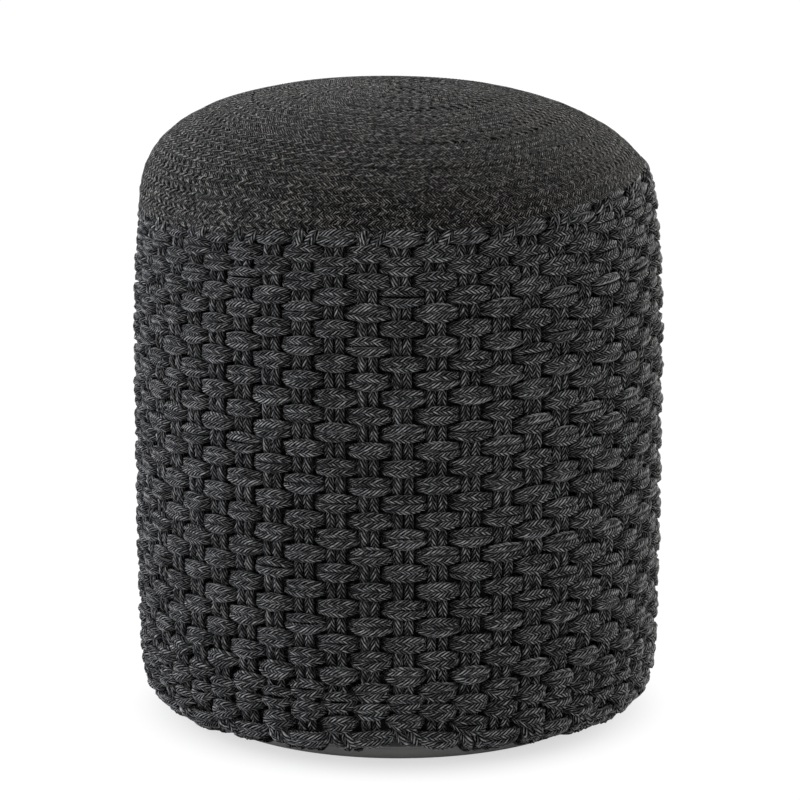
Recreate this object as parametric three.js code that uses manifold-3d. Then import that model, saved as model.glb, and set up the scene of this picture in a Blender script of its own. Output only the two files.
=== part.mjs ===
// Outdoor ottoman footstool: a drum woven from doubled braided cord, with a domed crown of coiled cord.
// A liner bag with its filling stands inside, and a base panel with a zip closes the underside.
// Millimetres, +Z up. The origin is on the floor at the middle of the base, and the front looks along -Y.
import * as THREE from 'three';
import { mergeVertices } from 'three/addons/utils/BufferGeometryUtils.js';
import Module from 'manifold-3d';

const wasm = await Module();
wasm.setup();

// Driving dimensions
const overallDiameter = 381;
const overallHeight = 457;
const cordDiameter = 6;
const fitGap = 0.3;

// Outline of the woven wall
const domeHeight = 77;
const bellyHeight = 200;
const shoulderDrop = 7;
const footDrop = 7;
const tuckDepth = 8;
const tuckHeight = 12;
const bulgePower = 4;

// Counts and layout of the weave
const warpPairs = 50;
const weftRows = 30;
const hemRows = 2;
const frontPairAngle = 0.03;
const crowdShare = 0.35;
const crowdRows = 4;
const hemLift = 6.5;
const crestShare = 0.55;
const wallShares = [0, 0.05, 0.35, 0.65, 0.95, 1];

// Crown of coiled cord
const crownLoops = 24;
const stepsPerLoop = 24;
const crownSides = 6;
const crownCordGap = 0.6;
const crownEyeRadius = 8;
const meridianSteps = 720;
const layoutPasses = 12;

// Liner bag, filling and base panel
const linerThickness = 1.2;
const baseDiameter = 310;
const baseThickness = 14;
const baseEdgeRound = 3;
const roundSegments = 24;
const baseSegments = 32;
const domeStations = 7;
const edgeStations = 3;

// Zip in the base panel
const zipLength = 200;
const zipOffset = 60;
const floorClearance = 1.2;
const slotWidth = 14;
const tapeWidth = 11;
const tapeThickness = 0.6;
const teethWidth = 2.2;
const teethHeight = 2;
const teethGap = 1.2;
const stopLength = 3;
const sliderLength = 12;
const sliderWidth = 9;
const sliderPlate = 1;
const cheekWidth = 1;
const cheekLength = 3;
const pinDiameter = 1.2;
const pinSides = 12;
const pullEyeDiameter = 3;
const pullEyeWidth = 3;
const pullLength = 24;
const pullWidth = 7;
const pullThickness = 1;
const pullNeck = 4.5;

// Places worked out from the sizes above
const wallBottom = baseThickness + fitGap;
const wallTop = overallHeight - domeHeight;
const rowCount = weftRows + hemRows;
const floatsPerRow = warpPairs / 2;
const pairAngle = 2 * Math.PI / warpPairs;

function wallRadius(z) {
  const span = z > bellyHeight ? wallTop - bellyHeight : bellyHeight - wallBottom;
  const drop = z > bellyHeight ? shoulderDrop : footDrop;
  const tuck = Math.max(0, 1 - (z - wallBottom) / tuckHeight);
  const bulge = drop * (Math.abs(z - bellyHeight) / span) ** bulgePower;
  return overallDiameter / 2 - bulge - tuckDepth * tuck ** 2;
}

// The rows crowd together towards both hems, and the lowest one hangs a little over the base panel.
function rowEdges() {
  const weights = [];
  for (let row = 0; row < rowCount; row++) {
    const fromEnd = Math.min(row, rowCount - 1 - row);
    weights.push(1 - crowdShare * Math.exp(-fromEnd / crowdRows));
  }
  const total = weights.reduce((sum, weight) => sum + weight, 0);
  const height = wallTop - wallBottom - hemLift;
  const edges = [wallTop];
  for (const weight of weights) {
    edges.push(edges[edges.length - 1] - height * weight / total);
  }
  return edges;
}

// A point of the crown's meridian, the quarter ellipse from the rim up to the top, a given depth under it.
const crownRadius = wallRadius(wallTop);

function crownPoint(angle, depth) {
  const out = new THREE.Vector2(domeHeight * Math.cos(angle), crownRadius * Math.sin(angle)).normalize();
  const r = crownRadius * Math.cos(angle) - depth * out.x;
  const z = wallTop + domeHeight * Math.sin(angle) - depth * out.y;
  return { r, z, out };
}

// Closed solids
function closed(geometry) {
  geometry.deleteAttribute('normal');
  geometry.deleteAttribute('uv');
  const merged = mergeVertices(geometry);
  const kept = [];
  const index = merged.index.array;
  for (let i = 0; i < index.length; i += 3) {
    const [a, b, c] = [index[i], index[i + 1], index[i + 2]];
    if (a !== b && b !== c && c !== a) kept.push(a, b, c);
  }
  merged.setIndex(kept);
  return merged;
}

function fromPoints(points, faces) {
  const geometry = new THREE.BufferGeometry();
  geometry.setAttribute('position', new THREE.Float32BufferAttribute(points.flat(), 3));
  geometry.setIndex(faces.flat());
  return closed(geometry);
}

function turned(profile, segments, startAngle = 0) {
  const points = profile.map(([r, z]) => new THREE.Vector2(r, z));
  return closed(new THREE.LatheGeometry(points, segments, startAngle).rotateX(Math.PI / 2));
}

function box(xRange, yRange, zRange) {
  const [dx, dy, dz] = [xRange, yRange, zRange].map(([low, high]) => high - low);
  const [x, y, z] = [xRange, yRange, zRange].map(([low, high]) => (low + high) / 2);
  return closed(new THREE.BoxGeometry(dx, dy, dz).translate(x, y, z));
}

// A round bar along Y
function bar(diameter, yRange, x, z) {
  const length = yRange[1] - yRange[0];
  const round = new THREE.CylinderGeometry(diameter / 2, diameter / 2, length, pinSides);
  return closed(round.translate(x, (yRange[0] + yRange[1]) / 2, z));
}

function solid(geometry) {
  const vertProperties = new Float32Array(geometry.attributes.position.array);
  const triVerts = new Uint32Array(geometry.index.array);
  return new wasm.Manifold(new wasm.Mesh({ numProp: 3, vertProperties, triVerts }));
}

function fromSolid(body) {
  const mesh = body.getMesh();
  const geometry = new THREE.BufferGeometry();
  geometry.setAttribute('position', new THREE.Float32BufferAttribute(mesh.vertProperties, 3));
  geometry.setIndex(Array.from(mesh.triVerts));
  return geometry;
}

function joined(first, ...others) {
  return others.reduce((sum, other) => sum.add(solid(other)), solid(first));
}

// Materials
const cordCloth = new THREE.MeshStandardMaterial({ color: 0x3c3c3e, roughness: 0.85, metalness: 0 });
const hemCloth = new THREE.MeshStandardMaterial({ color: 0x333335, roughness: 0.85, metalness: 0 });
const crownCloth = new THREE.MeshStandardMaterial({ color: 0x4a4947, roughness: 0.85, metalness: 0 });
const baseSheet = new THREE.MeshStandardMaterial({ color: 0x545353, roughness: 0.5, metalness: 0 });
const linerCloth = new THREE.MeshStandardMaterial({ color: 0x1c1c1e, roughness: 0.8, metalness: 0 });
const beads = new THREE.MeshStandardMaterial({ color: 0xe8e8e4, roughness: 0.9, metalness: 0 });
const zipCloth = new THREE.MeshStandardMaterial({ color: 0x232325, roughness: 0.8, metalness: 0 });
const zipPlastic = new THREE.MeshStandardMaterial({ color: 0x19191b, roughness: 0.4, metalness: 0 });
const zipMetal = new THREE.MeshStandardMaterial({ color: 0x8a8c90, roughness: 0.35, metalness: 1 });

const ottoman = new THREE.Group();

function addPiece(name, geometry, material) {
  const mesh = new THREE.Mesh(geometry, material);
  mesh.name = name;
  ottoman.add(mesh);
}

// One row of the weft: a ring with a corner at each of its floats, where it stands out furthest.
function weftRow(row, top, bottom) {
  const high = top - fitGap / 2;
  const low = bottom + fitGap / 2;
  const middle = (high + low) / 2;
  const crest = (high - low) * crestShare / 2;
  const profile = [
    [wallRadius(low) - cordDiameter, low],
    [wallRadius(middle - crest), middle - crest],
    [wallRadius(middle + crest), middle + crest],
    [wallRadius(high) - cordDiameter, high],
  ];
  profile.push(profile[0]);
  return turned(profile, floatsPerRow, frontPairAngle + (row % 2) * pairAngle);
}

function addWeft() {
  const edges = rowEdges();
  for (let row = 0; row < rowCount; row++) {
    const geometry = weftRow(row, edges[row], edges[row + 1]);
    if (row === 0) addPiece('top_hem', geometry, hemCloth);
    else if (row === rowCount - 1) addPiece('bottom_hem', geometry, hemCloth);
    else addPiece(`weft_row_${String(row).padStart(2, '0')}`, geometry, cordCloth);
  }
}

// The upright cords: flat pairs side by side behind the weft, caught along both hems.
function warpOuter(z) {
  return (wallRadius(z) - cordDiameter) * Math.cos(Math.PI / floatsPerRow) - fitGap;
}

function warpInner(z) {
  return (warpOuter(z) - cordDiameter) * Math.cos(pairAngle / 4);
}

const wallHeights = wallShares.map((share) => wallBottom + share * (wallTop - wallBottom));

function warpCords() {
  const heights = wallHeights;
  const columns = 2 * warpPairs;
  const pairWidthAngle = 2 * cordDiameter / warpOuter(bellyHeight);
  const points = [];
  for (let column = 0; column < columns; column++) {
    const side = column % 2 ? 1 : -1;
    const angle = frontPairAngle + Math.floor(column / 2) * pairAngle + side * pairWidthAngle / 2;
    for (const z of heights) {
      for (const r of [warpOuter(z), warpOuter(z) - cordDiameter]) {
        points.push([r * Math.sin(angle), -r * Math.cos(angle), z]);
      }
    }
  }
  const at = (column, level, inner) => ((column % columns) * heights.length + level) * 2 + inner;
  const levels = heights.length - 1;
  const filled = (column, level) => column % 2 === 0 || level === 0 || level === levels - 1;
  const faces = [];
  const quad = (a, b, c, d) => faces.push([a, b, c], [a, c, d]);
  for (let column = 0; column < columns; column++) {
    const next = column + 1;
    for (let level = 0; level < levels; level++) {
      if (!filled(column, level)) continue;
      const up = level + 1;
      quad(at(column, level, 0), at(next, level, 0), at(next, up, 0), at(column, up, 0));
      quad(at(next, level, 1), at(column, level, 1), at(column, up, 1), at(next, up, 1));
      if (!filled(next, level)) quad(at(next, level, 0), at(next, level, 1), at(next, up, 1), at(next, up, 0));
      if (!filled(column + columns - 1, level)) {
        quad(at(column, level, 1), at(column, level, 0), at(column, up, 0), at(column, up, 1));
      }
      if (up === levels || !filled(column, up)) {
        quad(at(column, up, 0), at(next, up, 0), at(next, up, 1), at(column, up, 1));
      }
      if (level === 0 || !filled(column, level - 1)) {
        quad(at(column, level, 1), at(next, level, 1), at(next, level, 0), at(column, level, 0));
      }
    }
  }
  return fromPoints(points, faces);
}

// Meridian of the crown by arc length, from the top down, for the middle line of a cord of this diameter.
function crownMeridian(diameter) {
  const line = [];
  let length = 0;
  for (let step = 0; step <= meridianSteps; step++) {
    const point = crownPoint(Math.PI / 2 * (1 - step / meridianSteps), diameter / 2);
    if (step > 0) length += Math.hypot(point.r - line[step - 1].r, point.z - line[step - 1].z);
    line.push({ ...point, length });
  }
  return line;
}

function pointAt(line, key, value) {
  const rising = line[1][key] > line[0][key];
  const next = Math.max(1, line.findIndex((point) => (rising ? point[key] >= value : point[key] <= value)));
  const [low, high] = [line[next - 1], line[next]];
  const share = (value - low[key]) / (high[key] - low[key]);
  const mix = (a, b) => a + (b - a) * share;
  return {
    r: mix(low.r, high.r),
    z: mix(low.z, high.z),
    length: mix(low.length, high.length),
    out: low.out.clone().lerp(high.out, share).normalize(),
  };
}

// The cord's diameter is what its turns leave free, so the meridian and the diameter settle together.
function crownLayout() {
  let diameter = cordDiameter;
  let layout;
  for (let pass = 0; pass < layoutPasses; pass++) {
    const line = crownMeridian(diameter);
    const first = pointAt(line, 'r', crownEyeRadius).length;
    const last = pointAt(line, 'z', wallTop + fitGap + diameter / 2).length;
    const pitch = (last - first) / crownLoops;
    diameter = pitch - crownCordGap;
    layout = { line, first, pitch, diameter };
  }
  return layout;
}

const crown = crownLayout();

// Middle line of the coil from the eye down to its outer end at the back. Both ends run straight for
// one diameter.
function crownRoute({ line, first, pitch, diameter }) {
  const steps = crownLoops * stepsPerLoop;
  const nodes = [];
  for (let step = 0; step <= steps; step++) {
    const turn = step / stepsPerLoop;
    const { r, z, out } = pointAt(line, 'length', first + turn * pitch);
    const angle = Math.PI + 2 * Math.PI * turn;
    const [sin, cos] = [Math.sin(angle), Math.cos(angle)];
    const point = new THREE.Vector3(r * sin, -r * cos, z);
    nodes.push({ point, normal: new THREE.Vector3(out.x * sin, -out.x * cos, out.y) });
  }
  const far = (a, b) => nodes[a].point.distanceTo(nodes[b].point) >= diameter;
  let head = 1;
  while (!far(0, head)) head++;
  let tail = 1;
  while (!far(steps, steps - tail)) tail++;
  return nodes.filter((node, step) => step === 0 || step === steps || (step >= head && step <= steps - tail));
}

function leastCoilGap(route, diameter) {
  let least = Infinity;
  for (let a = 0; a < route.length; a++) {
    for (let b = a + Math.ceil(stepsPerLoop / 2); b < route.length; b++) {
      least = Math.min(least, route[a].point.distanceTo(route[b].point));
    }
  }
  return least - diameter;
}

function crownCoil() {
  const route = crownRoute(crown);
  const radius = crown.diameter / 2;
  console.log(`least gap of the crown's coil to itself: ${leastCoilGap(route, crown.diameter).toFixed(2)} mm`);
  const points = [];
  const last = route.length - 1;
  route.forEach(({ point, normal }, step) => {
    const ahead = route[Math.min(step + 1, last)].point;
    const behind = route[Math.max(step - 1, 0)].point;
    const along = ahead.clone().sub(behind).normalize();
    const across = along.clone().cross(normal).normalize();
    const outward = across.clone().cross(along);
    for (let side = 0; side < crownSides; side++) {
      const angle = 2 * Math.PI * side / crownSides;
      const place = point.clone();
      place.addScaledVector(outward, Math.cos(angle) * radius);
      place.addScaledVector(across, Math.sin(angle) * radius);
      points.push(place.toArray());
    }
  });
  const faces = [];
  for (let step = 0; step < last; step++) {
    for (let side = 0; side < crownSides; side++) {
      const next = (side + 1) % crownSides;
      const [a, b] = [step * crownSides + side, step * crownSides + next];
      faces.push([a, b + crownSides, a + crownSides], [a, b, b + crownSides]);
    }
  }
  for (let side = 1; side < crownSides - 1; side++) {
    faces.push([0, side + 1, side]);
    faces.push([last * crownSides, last * crownSides + side, last * crownSides + side + 1]);
  }
  return fromPoints(points, faces);
}

// Liner bag: each panel is a thin shell, and the filling is the solid that the bag holds.
function linerOuter(z) {
  return warpInner(z) - fitGap;
}

function stations(low, high, count) {
  return Array.from({ length: count }, (unused, i) => low + (high - low) * i / (count - 1));
}

function linerSide() {
  const outside = wallHeights.map((z) => [linerOuter(z), z]);
  const inside = outside.map(([r, z]) => [r - linerThickness, z]).reverse();
  return turned([...outside, ...inside, outside[0]], roundSegments);
}

function linerBottom() {
  const radius = linerOuter(wallBottom) - linerThickness - fitGap;
  const top = wallBottom + linerThickness;
  return turned([[0, wallBottom], [radius, wallBottom], [radius, top], [0, top]], roundSegments);
}

// Meridian of a skin under the crown's coil, a given depth below the crown's surface, from the rim up.
// It is drawn in a little more, because the coil's straight steps cut the corner inwards.
function underCrown(depth, low) {
  const start = Math.asin((low - wallTop) / domeHeight);
  const inset = Math.cos(Math.PI / stepsPerLoop);
  const line = stations(start, Math.PI / 2, domeStations).map((angle) => crownPoint(angle, depth));
  return line.map(({ r, z }) => [r * inset, z]);
}

function crownDepths() {
  const top = crown.diameter + fitGap;
  return { top, under: top + linerThickness, filling: top + linerThickness + fitGap };
}

function linerTop() {
  const { top, under } = crownDepths();
  const low = wallTop + under;
  const outside = underCrown(top, low);
  const inside = underCrown(under, low).reverse();
  outside[outside.length - 1][0] = 0;
  inside[0][0] = 0;
  return turned([...inside, ...outside], roundSegments);
}

function filling() {
  const bottom = wallBottom + linerThickness + fitGap;
  const side = (z) => linerOuter(z) - linerThickness - fitGap;
  const wall = wallHeights.slice(1).map((z) => [side(z), z]);
  const { filling: depth } = crownDepths();
  const dome = underCrown(depth, wallTop + depth).filter(([r]) => r < side(wallTop));
  dome[dome.length - 1][0] = 0;
  return turned([[0, bottom], [side(wallBottom), bottom], ...wall, ...dome], roundSegments);
}

// Heights inside the zip's recess, from the floor up
const pinHeight = floorClearance + pullEyeDiameter / 2;
const sliderBottom = pinHeight + pullEyeDiameter / 2 + fitGap;
const teethBottom = sliderBottom + sliderPlate + fitGap;
const teethTop = teethBottom + teethHeight;
const tapeBottom = (teethBottom + teethTop - tapeThickness) / 2;
const tapeInner = teethGap / 2 + teethWidth + fitGap;
const tapeOuter = tapeInner + tapeWidth;
const ledgeTop = tapeBottom - fitGap;

// The slider waits at the closed end. The stop at the open end holds it where the pull still has room.
const closedReach = zipLength / 2 - stopLength - 2 * fitGap;
const openReach = zipLength / 2 - pullLength + sliderLength / 2;
const sliderMiddle = closedReach - sliderLength / 2;

function basePanel() {
  const radius = baseDiameter / 2;
  const corner = (angle, z, sign) => [
    radius - baseEdgeRound * (1 - Math.cos(angle)),
    z + sign * baseEdgeRound * (1 - Math.sin(angle)),
  ];
  const rise = stations(0, Math.PI / 2, edgeStations);
  const lower = rise.map((angle) => corner(angle, 0, 1)).reverse();
  const upper = rise.map((angle) => corner(angle, baseThickness, -1));
  const disc = turned([[0, 0], ...lower, ...upper, [0, baseThickness]], baseSegments);
  const half = zipLength / 2;
  const slot = box([-half, half], [zipOffset - slotWidth / 2, zipOffset + slotWidth / 2],
    [-fitGap, baseThickness + fitGap]);
  const seat = tapeOuter + fitGap;
  const recess = box([-half, half], [zipOffset - seat, zipOffset + seat], [ledgeTop, baseThickness + fitGap]);
  return fromSolid(solid(disc).subtract(solid(slot)).subtract(solid(recess)));
}

function zipTape(side) {
  const reach = zipLength / 2 - fitGap;
  const edges = [zipOffset + side * tapeInner, zipOffset + side * tapeOuter].sort((a, b) => a - b);
  return box([-reach, reach], edges, [tapeBottom, tapeBottom + tapeThickness]);
}

function zipTeeth(side) {
  const edges = [side * teethGap / 2, side * (teethGap / 2 + teethWidth)].map((y) => zipOffset + y);
  return box([-openReach, closedReach], edges.sort((a, b) => a - b), [teethBottom, teethTop]);
}

function zipStop(start) {
  const half = teethGap / 2 + teethWidth;
  return box([start, start + stopLength], [zipOffset - half, zipOffset + half], [teethBottom, teethTop]);
}

// The slider's post runs between the rows of teeth.
function zipSlider() {
  const along = [sliderMiddle - sliderLength / 2, sliderMiddle + sliderLength / 2];
  const across = [zipOffset - sliderWidth / 2, zipOffset + sliderWidth / 2];
  const plateTop = sliderBottom + sliderPlate;
  const upperBottom = teethTop + fitGap;
  const lower = box(along, across, [sliderBottom, plateTop]);
  const upper = box(along, across, [upperBottom, upperBottom + sliderPlate]);
  const postHalf = teethGap / 2 - fitGap;
  const post = box([sliderMiddle - sliderLength / 4, sliderMiddle + sliderLength / 4],
    [zipOffset - postHalf, zipOffset + postHalf], [sliderBottom, upperBottom + sliderPlate]);
  const cheekInner = pullEyeWidth / 2 + fitGap;
  const cheeks = [-1, 1].map((side) => {
    const edges = [zipOffset + side * cheekInner, zipOffset + side * (cheekInner + cheekWidth)];
    return box([sliderMiddle - cheekLength / 2, sliderMiddle + cheekLength / 2],
      edges.sort((a, b) => a - b), [pinHeight - pinDiameter, plateTop]);
  });
  const reach = cheekInner + cheekWidth / 2;
  const pin = bar(pinDiameter, [zipOffset - reach, zipOffset + reach], sliderMiddle, pinHeight);
  return fromSolid(joined(lower, upper, post, ...cheeks, pin));
}

// The pull lies flat under the teeth, and its eye turns on the slider's pin.
function zipPull() {
  const eyeHalf = pullEyeWidth / 2;
  const eye = bar(pullEyeDiameter, [zipOffset - eyeHalf, zipOffset + eyeHalf], sliderMiddle, pinHeight);
  const hole = bar(pinDiameter + 2 * fitGap, [zipOffset - pullEyeWidth, zipOffset + pullEyeWidth],
    sliderMiddle, pinHeight);
  const thick = [pinHeight - pullThickness / 2, pinHeight + pullThickness / 2];
  const neck = box([sliderMiddle - pullNeck - pullThickness, sliderMiddle],
    [zipOffset - eyeHalf, zipOffset + eyeHalf], thick);
  const tab = box([sliderMiddle - pullLength, sliderMiddle - pullNeck],
    [zipOffset - pullWidth / 2, zipOffset + pullWidth / 2], thick);
  return fromSolid(joined(eye, neck, tab).subtract(solid(hole)));
}

function addZip() {
  addPiece('zip_tape_front', zipTape(-1), zipCloth);
  addPiece('zip_tape_back', zipTape(1), zipCloth);
  addPiece('zip_teeth_front', zipTeeth(-1), zipPlastic);
  addPiece('zip_teeth_back', zipTeeth(1), zipPlastic);
  addPiece('zip_stop_closed_end', zipStop(closedReach + fitGap), zipMetal);
  addPiece('zip_stop_open_end', zipStop(-openReach - fitGap - stopLength), zipMetal);
  addPiece('zip_slider', zipSlider(), zipMetal);
  addPiece('zip_pull', zipPull(), zipMetal);
}

addWeft();
addPiece('warp_cords', warpCords(), cordCloth);
addPiece('crown_coil', crownCoil(), crownCloth);
addPiece('liner_top', linerTop(), linerCloth);
addPiece('liner_side', linerSide(), linerCloth);
addPiece('liner_bottom', linerBottom(), linerCloth);
addPiece('filling', filling(), beads);
addPiece('base_panel', basePanel(), baseSheet);
addZip();

export default ottoman;
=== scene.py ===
"""Woven drum footstool: cords, crown, liner, base and zip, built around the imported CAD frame."""

import math
from typing import NamedTuple

import bpy
import numpy as np
from bpy.props import FloatProperty, FloatVectorProperty, IntProperty, PointerProperty
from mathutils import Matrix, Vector


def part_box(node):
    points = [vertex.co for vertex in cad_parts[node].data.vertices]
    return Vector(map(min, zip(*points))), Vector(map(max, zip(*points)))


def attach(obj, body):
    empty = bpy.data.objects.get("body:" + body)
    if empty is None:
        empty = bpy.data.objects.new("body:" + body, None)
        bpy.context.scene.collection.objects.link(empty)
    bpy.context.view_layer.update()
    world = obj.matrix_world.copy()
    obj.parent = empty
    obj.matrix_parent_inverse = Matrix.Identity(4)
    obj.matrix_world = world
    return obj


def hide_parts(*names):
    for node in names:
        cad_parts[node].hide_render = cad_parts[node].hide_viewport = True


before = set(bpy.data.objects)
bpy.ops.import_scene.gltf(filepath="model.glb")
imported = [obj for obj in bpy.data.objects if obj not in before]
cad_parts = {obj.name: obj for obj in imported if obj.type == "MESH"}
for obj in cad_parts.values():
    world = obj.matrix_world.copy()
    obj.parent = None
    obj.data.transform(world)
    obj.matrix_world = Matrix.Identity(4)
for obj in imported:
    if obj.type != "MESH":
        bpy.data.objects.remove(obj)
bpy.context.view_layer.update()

bl_info = {
    "name": "Woven Drum Footstool",
    "version": (1, 0, 0),
    "blender": (4, 5, 0),
    "location": "3D View > Sidebar > Footstool",
    "description": "Cords, crown, liner, base and zip of a woven drum footstool",
    "category": "Object",
}

TAU = 2 * math.pi

# Counts of the weave
WARP_PAIRS = 50
WEFT_NODES = [f"weft_row_{row:02d}" for row in range(1, 31)]
ROW_NODES = ["top_hem", *WEFT_NODES, "bottom_hem"]
ROW_BOXES = [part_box(node) for node in ROW_NODES]
SOLID_HEIGHTS = np.array([(low.z + high.z) / 2 for low, high in ROW_BOXES])
# Soft cords settle a little out of the solids' even spacing: numbers of rows and their shifts in
# metres
SETTLED_ROWS = (0, 1, 2, 20, 24, 27, 29, 30, 31)
SETTLED_BY = (0.0024, 0.0, 0.0006, 0.0, -0.0025, -0.0030, 0.0040, 0.0053, 0.0020)
ROW_HEIGHTS = SOLID_HEIGHTS + np.interp(np.arange(len(ROW_NODES)), SETTLED_ROWS, SETTLED_BY)
LAST_ROW = len(ROW_NODES) - 1
PAIR_ANGLE = TAU / WARP_PAIRS
FRONT_PAIR_ANGLE = 0.03

# Outline of the skin that the floats reach, in metres and radians
BELLY_RADIUS = 0.1905
BELLY_HEIGHT = 0.200
WALL_BOTTOM = 0.0143
WALL_TOP = ROW_BOXES[0][1].z
END_DROP = 0.007
TUCK_DEPTH = 0.008
TUCK_HEIGHT = 0.012
SHOULDER = 0.370
DOME_TOP = 0.453
DOME_POWER = 2.37
DOME_FULLNESS = 0.3
OFF_CENTRE = 0.0009
OFF_CENTRE_RADIUS = 0.15
DOME_LEAN = 0.002
TWIST = 0.014
SLOPE_STEP = 0.0005
# The line between wall and crown: its drop under the wall's top and its rises at the back and
# towards +X
RIM_DROP = 0.002
RIM_BACK_RISE = 0.005
RIM_SIDE_RISE = 0.014
# Sag of the lowest rows, in two steps over the sine of the angle, the second from SIDE_START on
NEAR_SAG = 0.0062
SIDE_SAG = 0.0034
SAG_STEP = 0.35
SIDE_START = 0.6
SAG_HEIGHT = 0.060
# Grain of the crown's table: meridians, points followed down each one and points kept
MERIDIANS = 97
FOLLOWED = 400
KEPT = 301

# Look of the braid. Clumps of fibres to a strand's width and to a strand column
FIBRES_ACROSS = 1.4
FIBRES_ALONG = 2.6
# How far a strand's tone may differ from the next one's, and the noise from middle to dark or light
STRAND_TONE = 0.22
TONE_REACH = 0.15
# Metres over which strands wander, and the wander round the cord as a part of that along it
WANDER_SIZE = 0.003
SIDE_WANDER = 0.6
# Painted shade between strands: the tone left there, how square a strand is across, and how much
# its fibres stand out from it
GROOVE_SHADE_TONE = 0.01
ARCH_POWER = 0.3
FIBRE_RELIEF = 0.4
# Gloss and sheen on a strand's back, which fade into the grooves
BACK_GLOSS = 0.4
BACK_SHEEN = 0.35
# Painted shade in the weave's recesses: depths in metres under the skin down to which the cords
# keep their full tone and past which they are shaded fully, and the tone left there
UNSHADED_DEPTH = 0.0026
FULL_SHADE_DEPTH = 0.0070
RECESS_SHADE_TONE = 0.32


def ease(x):
    """Half a cosine from 0 to 1, flat before 0 and after 1."""
    return 0.5 - 0.5 * np.cos(np.pi * np.clip(x, 0, 1))


# Outline of the drum


def wall_radius(z):
    """Belly radius, less a fourth-power drop towards both ends and a squared tuck just over the
    base."""
    span = np.where(z > BELLY_HEIGHT, WALL_TOP - BELLY_HEIGHT, BELLY_HEIGHT - WALL_BOTTOM)
    tuck = np.clip(1 - (z - WALL_BOTTOM) / TUCK_HEIGHT, 0, 1)
    return BELLY_RADIUS - END_DROP * (np.abs(z - BELLY_HEIGHT) / span) ** 4 - TUCK_DEPTH * tuck**2


def dome_power(theta):
    """Power of the dome's superellipse, less its fullness times the sine and the cosine of the
    angle.

    So the dome is fuller at the back and on the -X side."""
    return DOME_POWER - DOME_FULLNESS * np.sin(theta) - DOME_FULLNESS * np.cos(theta)


def skin_radius(theta, z):
    """The wall's radius up to the shoulder, and over it a superellipse that ends at the dome's
    top."""
    power = dome_power(theta)
    share = np.clip((z - SHOULDER) / (DOME_TOP - SHOULDER), 0, 1)
    return wall_radius(np.minimum(z, SHOULDER)) * (1 - share**power) ** (1 / power)


def around(theta, radius, z):
    """Cylinder coordinates to x, y, z with angle 0 at the front and growing towards +X.

    The drum stands a little to +X of the axis, and its dome leans a little further that way."""
    radius = radius + OFF_CENTRE * np.sin(theta) * np.clip(radius / OFF_CENTRE_RADIUS, 0, 1)
    lean = DOME_LEAN * np.clip((z - SHOULDER) / (DOME_TOP - SHOULDER), 0, 1)
    return np.stack([radius * np.sin(theta) + lean, -radius * np.cos(theta), z], -1)


def rim_height(theta):
    """Height of the line between wall and crown, low on the -X side and high on the +X side.

    To the wall's top less the drop come a rise to the back, times one less the cosine of the angle,
    and a rise to the side, times the sine and the sine's size."""
    side = np.sin(theta)
    height = WALL_TOP - RIM_DROP + RIM_BACK_RISE * (1 - np.cos(theta))
    return height + RIM_SIDE_RISE * side * np.abs(side)


def sagged(theta, z):
    """Height with the sag of the lowest rows, which hang lower at the sides than at the front and
    back.

    The sag grows in two steps of half a cosine over the size of the angle's sine."""
    low = 1 - ease((z - WALL_BOTTOM) / SAG_HEIGHT)
    side = np.abs(np.sin(theta))
    near, far = ease(side / SAG_STEP), ease((side - SIDE_START) / SAG_STEP)
    return z - low * (NEAR_SAG * near + SIDE_SAG * far)


def wall_point(theta, z, depth):
    """Point a given depth under the woven skin.

    The height is lifted by the rim's rise times the squared share of the wall's height, the angle
    twists with the same share, and the depth is set back along the normal of the skin's upright
    outline."""
    share = np.clip((z - WALL_BOTTOM) / (WALL_TOP - WALL_BOTTOM), 0, None) ** 2
    theta = theta - TWIST * share
    z = z + (rim_height(theta) - WALL_TOP) * share
    above, below = skin_radius(theta, z + SLOPE_STEP), skin_radius(theta, z - SLOPE_STEP)
    slope = (above - below) / (2 * SLOPE_STEP)
    size = np.hypot(1, slope)
    return around(theta, skin_radius(theta, z) - depth / size, z + depth * slope / size)


def crown_table():
    """Radii and heights on the crown's meridians, by angle and by even shares of the way from the
    middle to the rim, and the mean length of a meridian.

    Each meridian is followed down the superellipse, and its length is summed up and read
    backwards."""
    theta = np.linspace(0, TAU, MERIDIANS)[:, None]
    power = dome_power(theta)
    rim_share = (rim_height(theta) - SHOULDER) / (DOME_TOP - SHOULDER)
    last = np.arcsin(np.clip(rim_share, 0, 1) ** (power / 2))
    t = np.pi / 2 + (last - np.pi / 2) * np.linspace(0, 1, FOLLOWED)[None, :]
    z = SHOULDER + (DOME_TOP - SHOULDER) * np.sin(t) ** (2 / power)
    r = wall_radius(np.float64(SHOULDER)) * np.maximum(np.cos(t), 0) ** (2 / power)
    steps = np.hypot(np.diff(r, axis=1), np.diff(z, axis=1))
    length = np.concatenate([np.zeros((len(theta), 1)), np.cumsum(steps, axis=1)], axis=1)
    shares = np.linspace(0, 1, KEPT)
    rows = [
        (np.interp(shares, line / line[-1], radius), np.interp(shares, line / line[-1], height))
        for line, radius, height in zip(length, r, z)
    ]
    return np.array(rows), float(length[:, -1].mean())


CROWN_ROWS, CROWN_LENGTH = crown_table()


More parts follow.
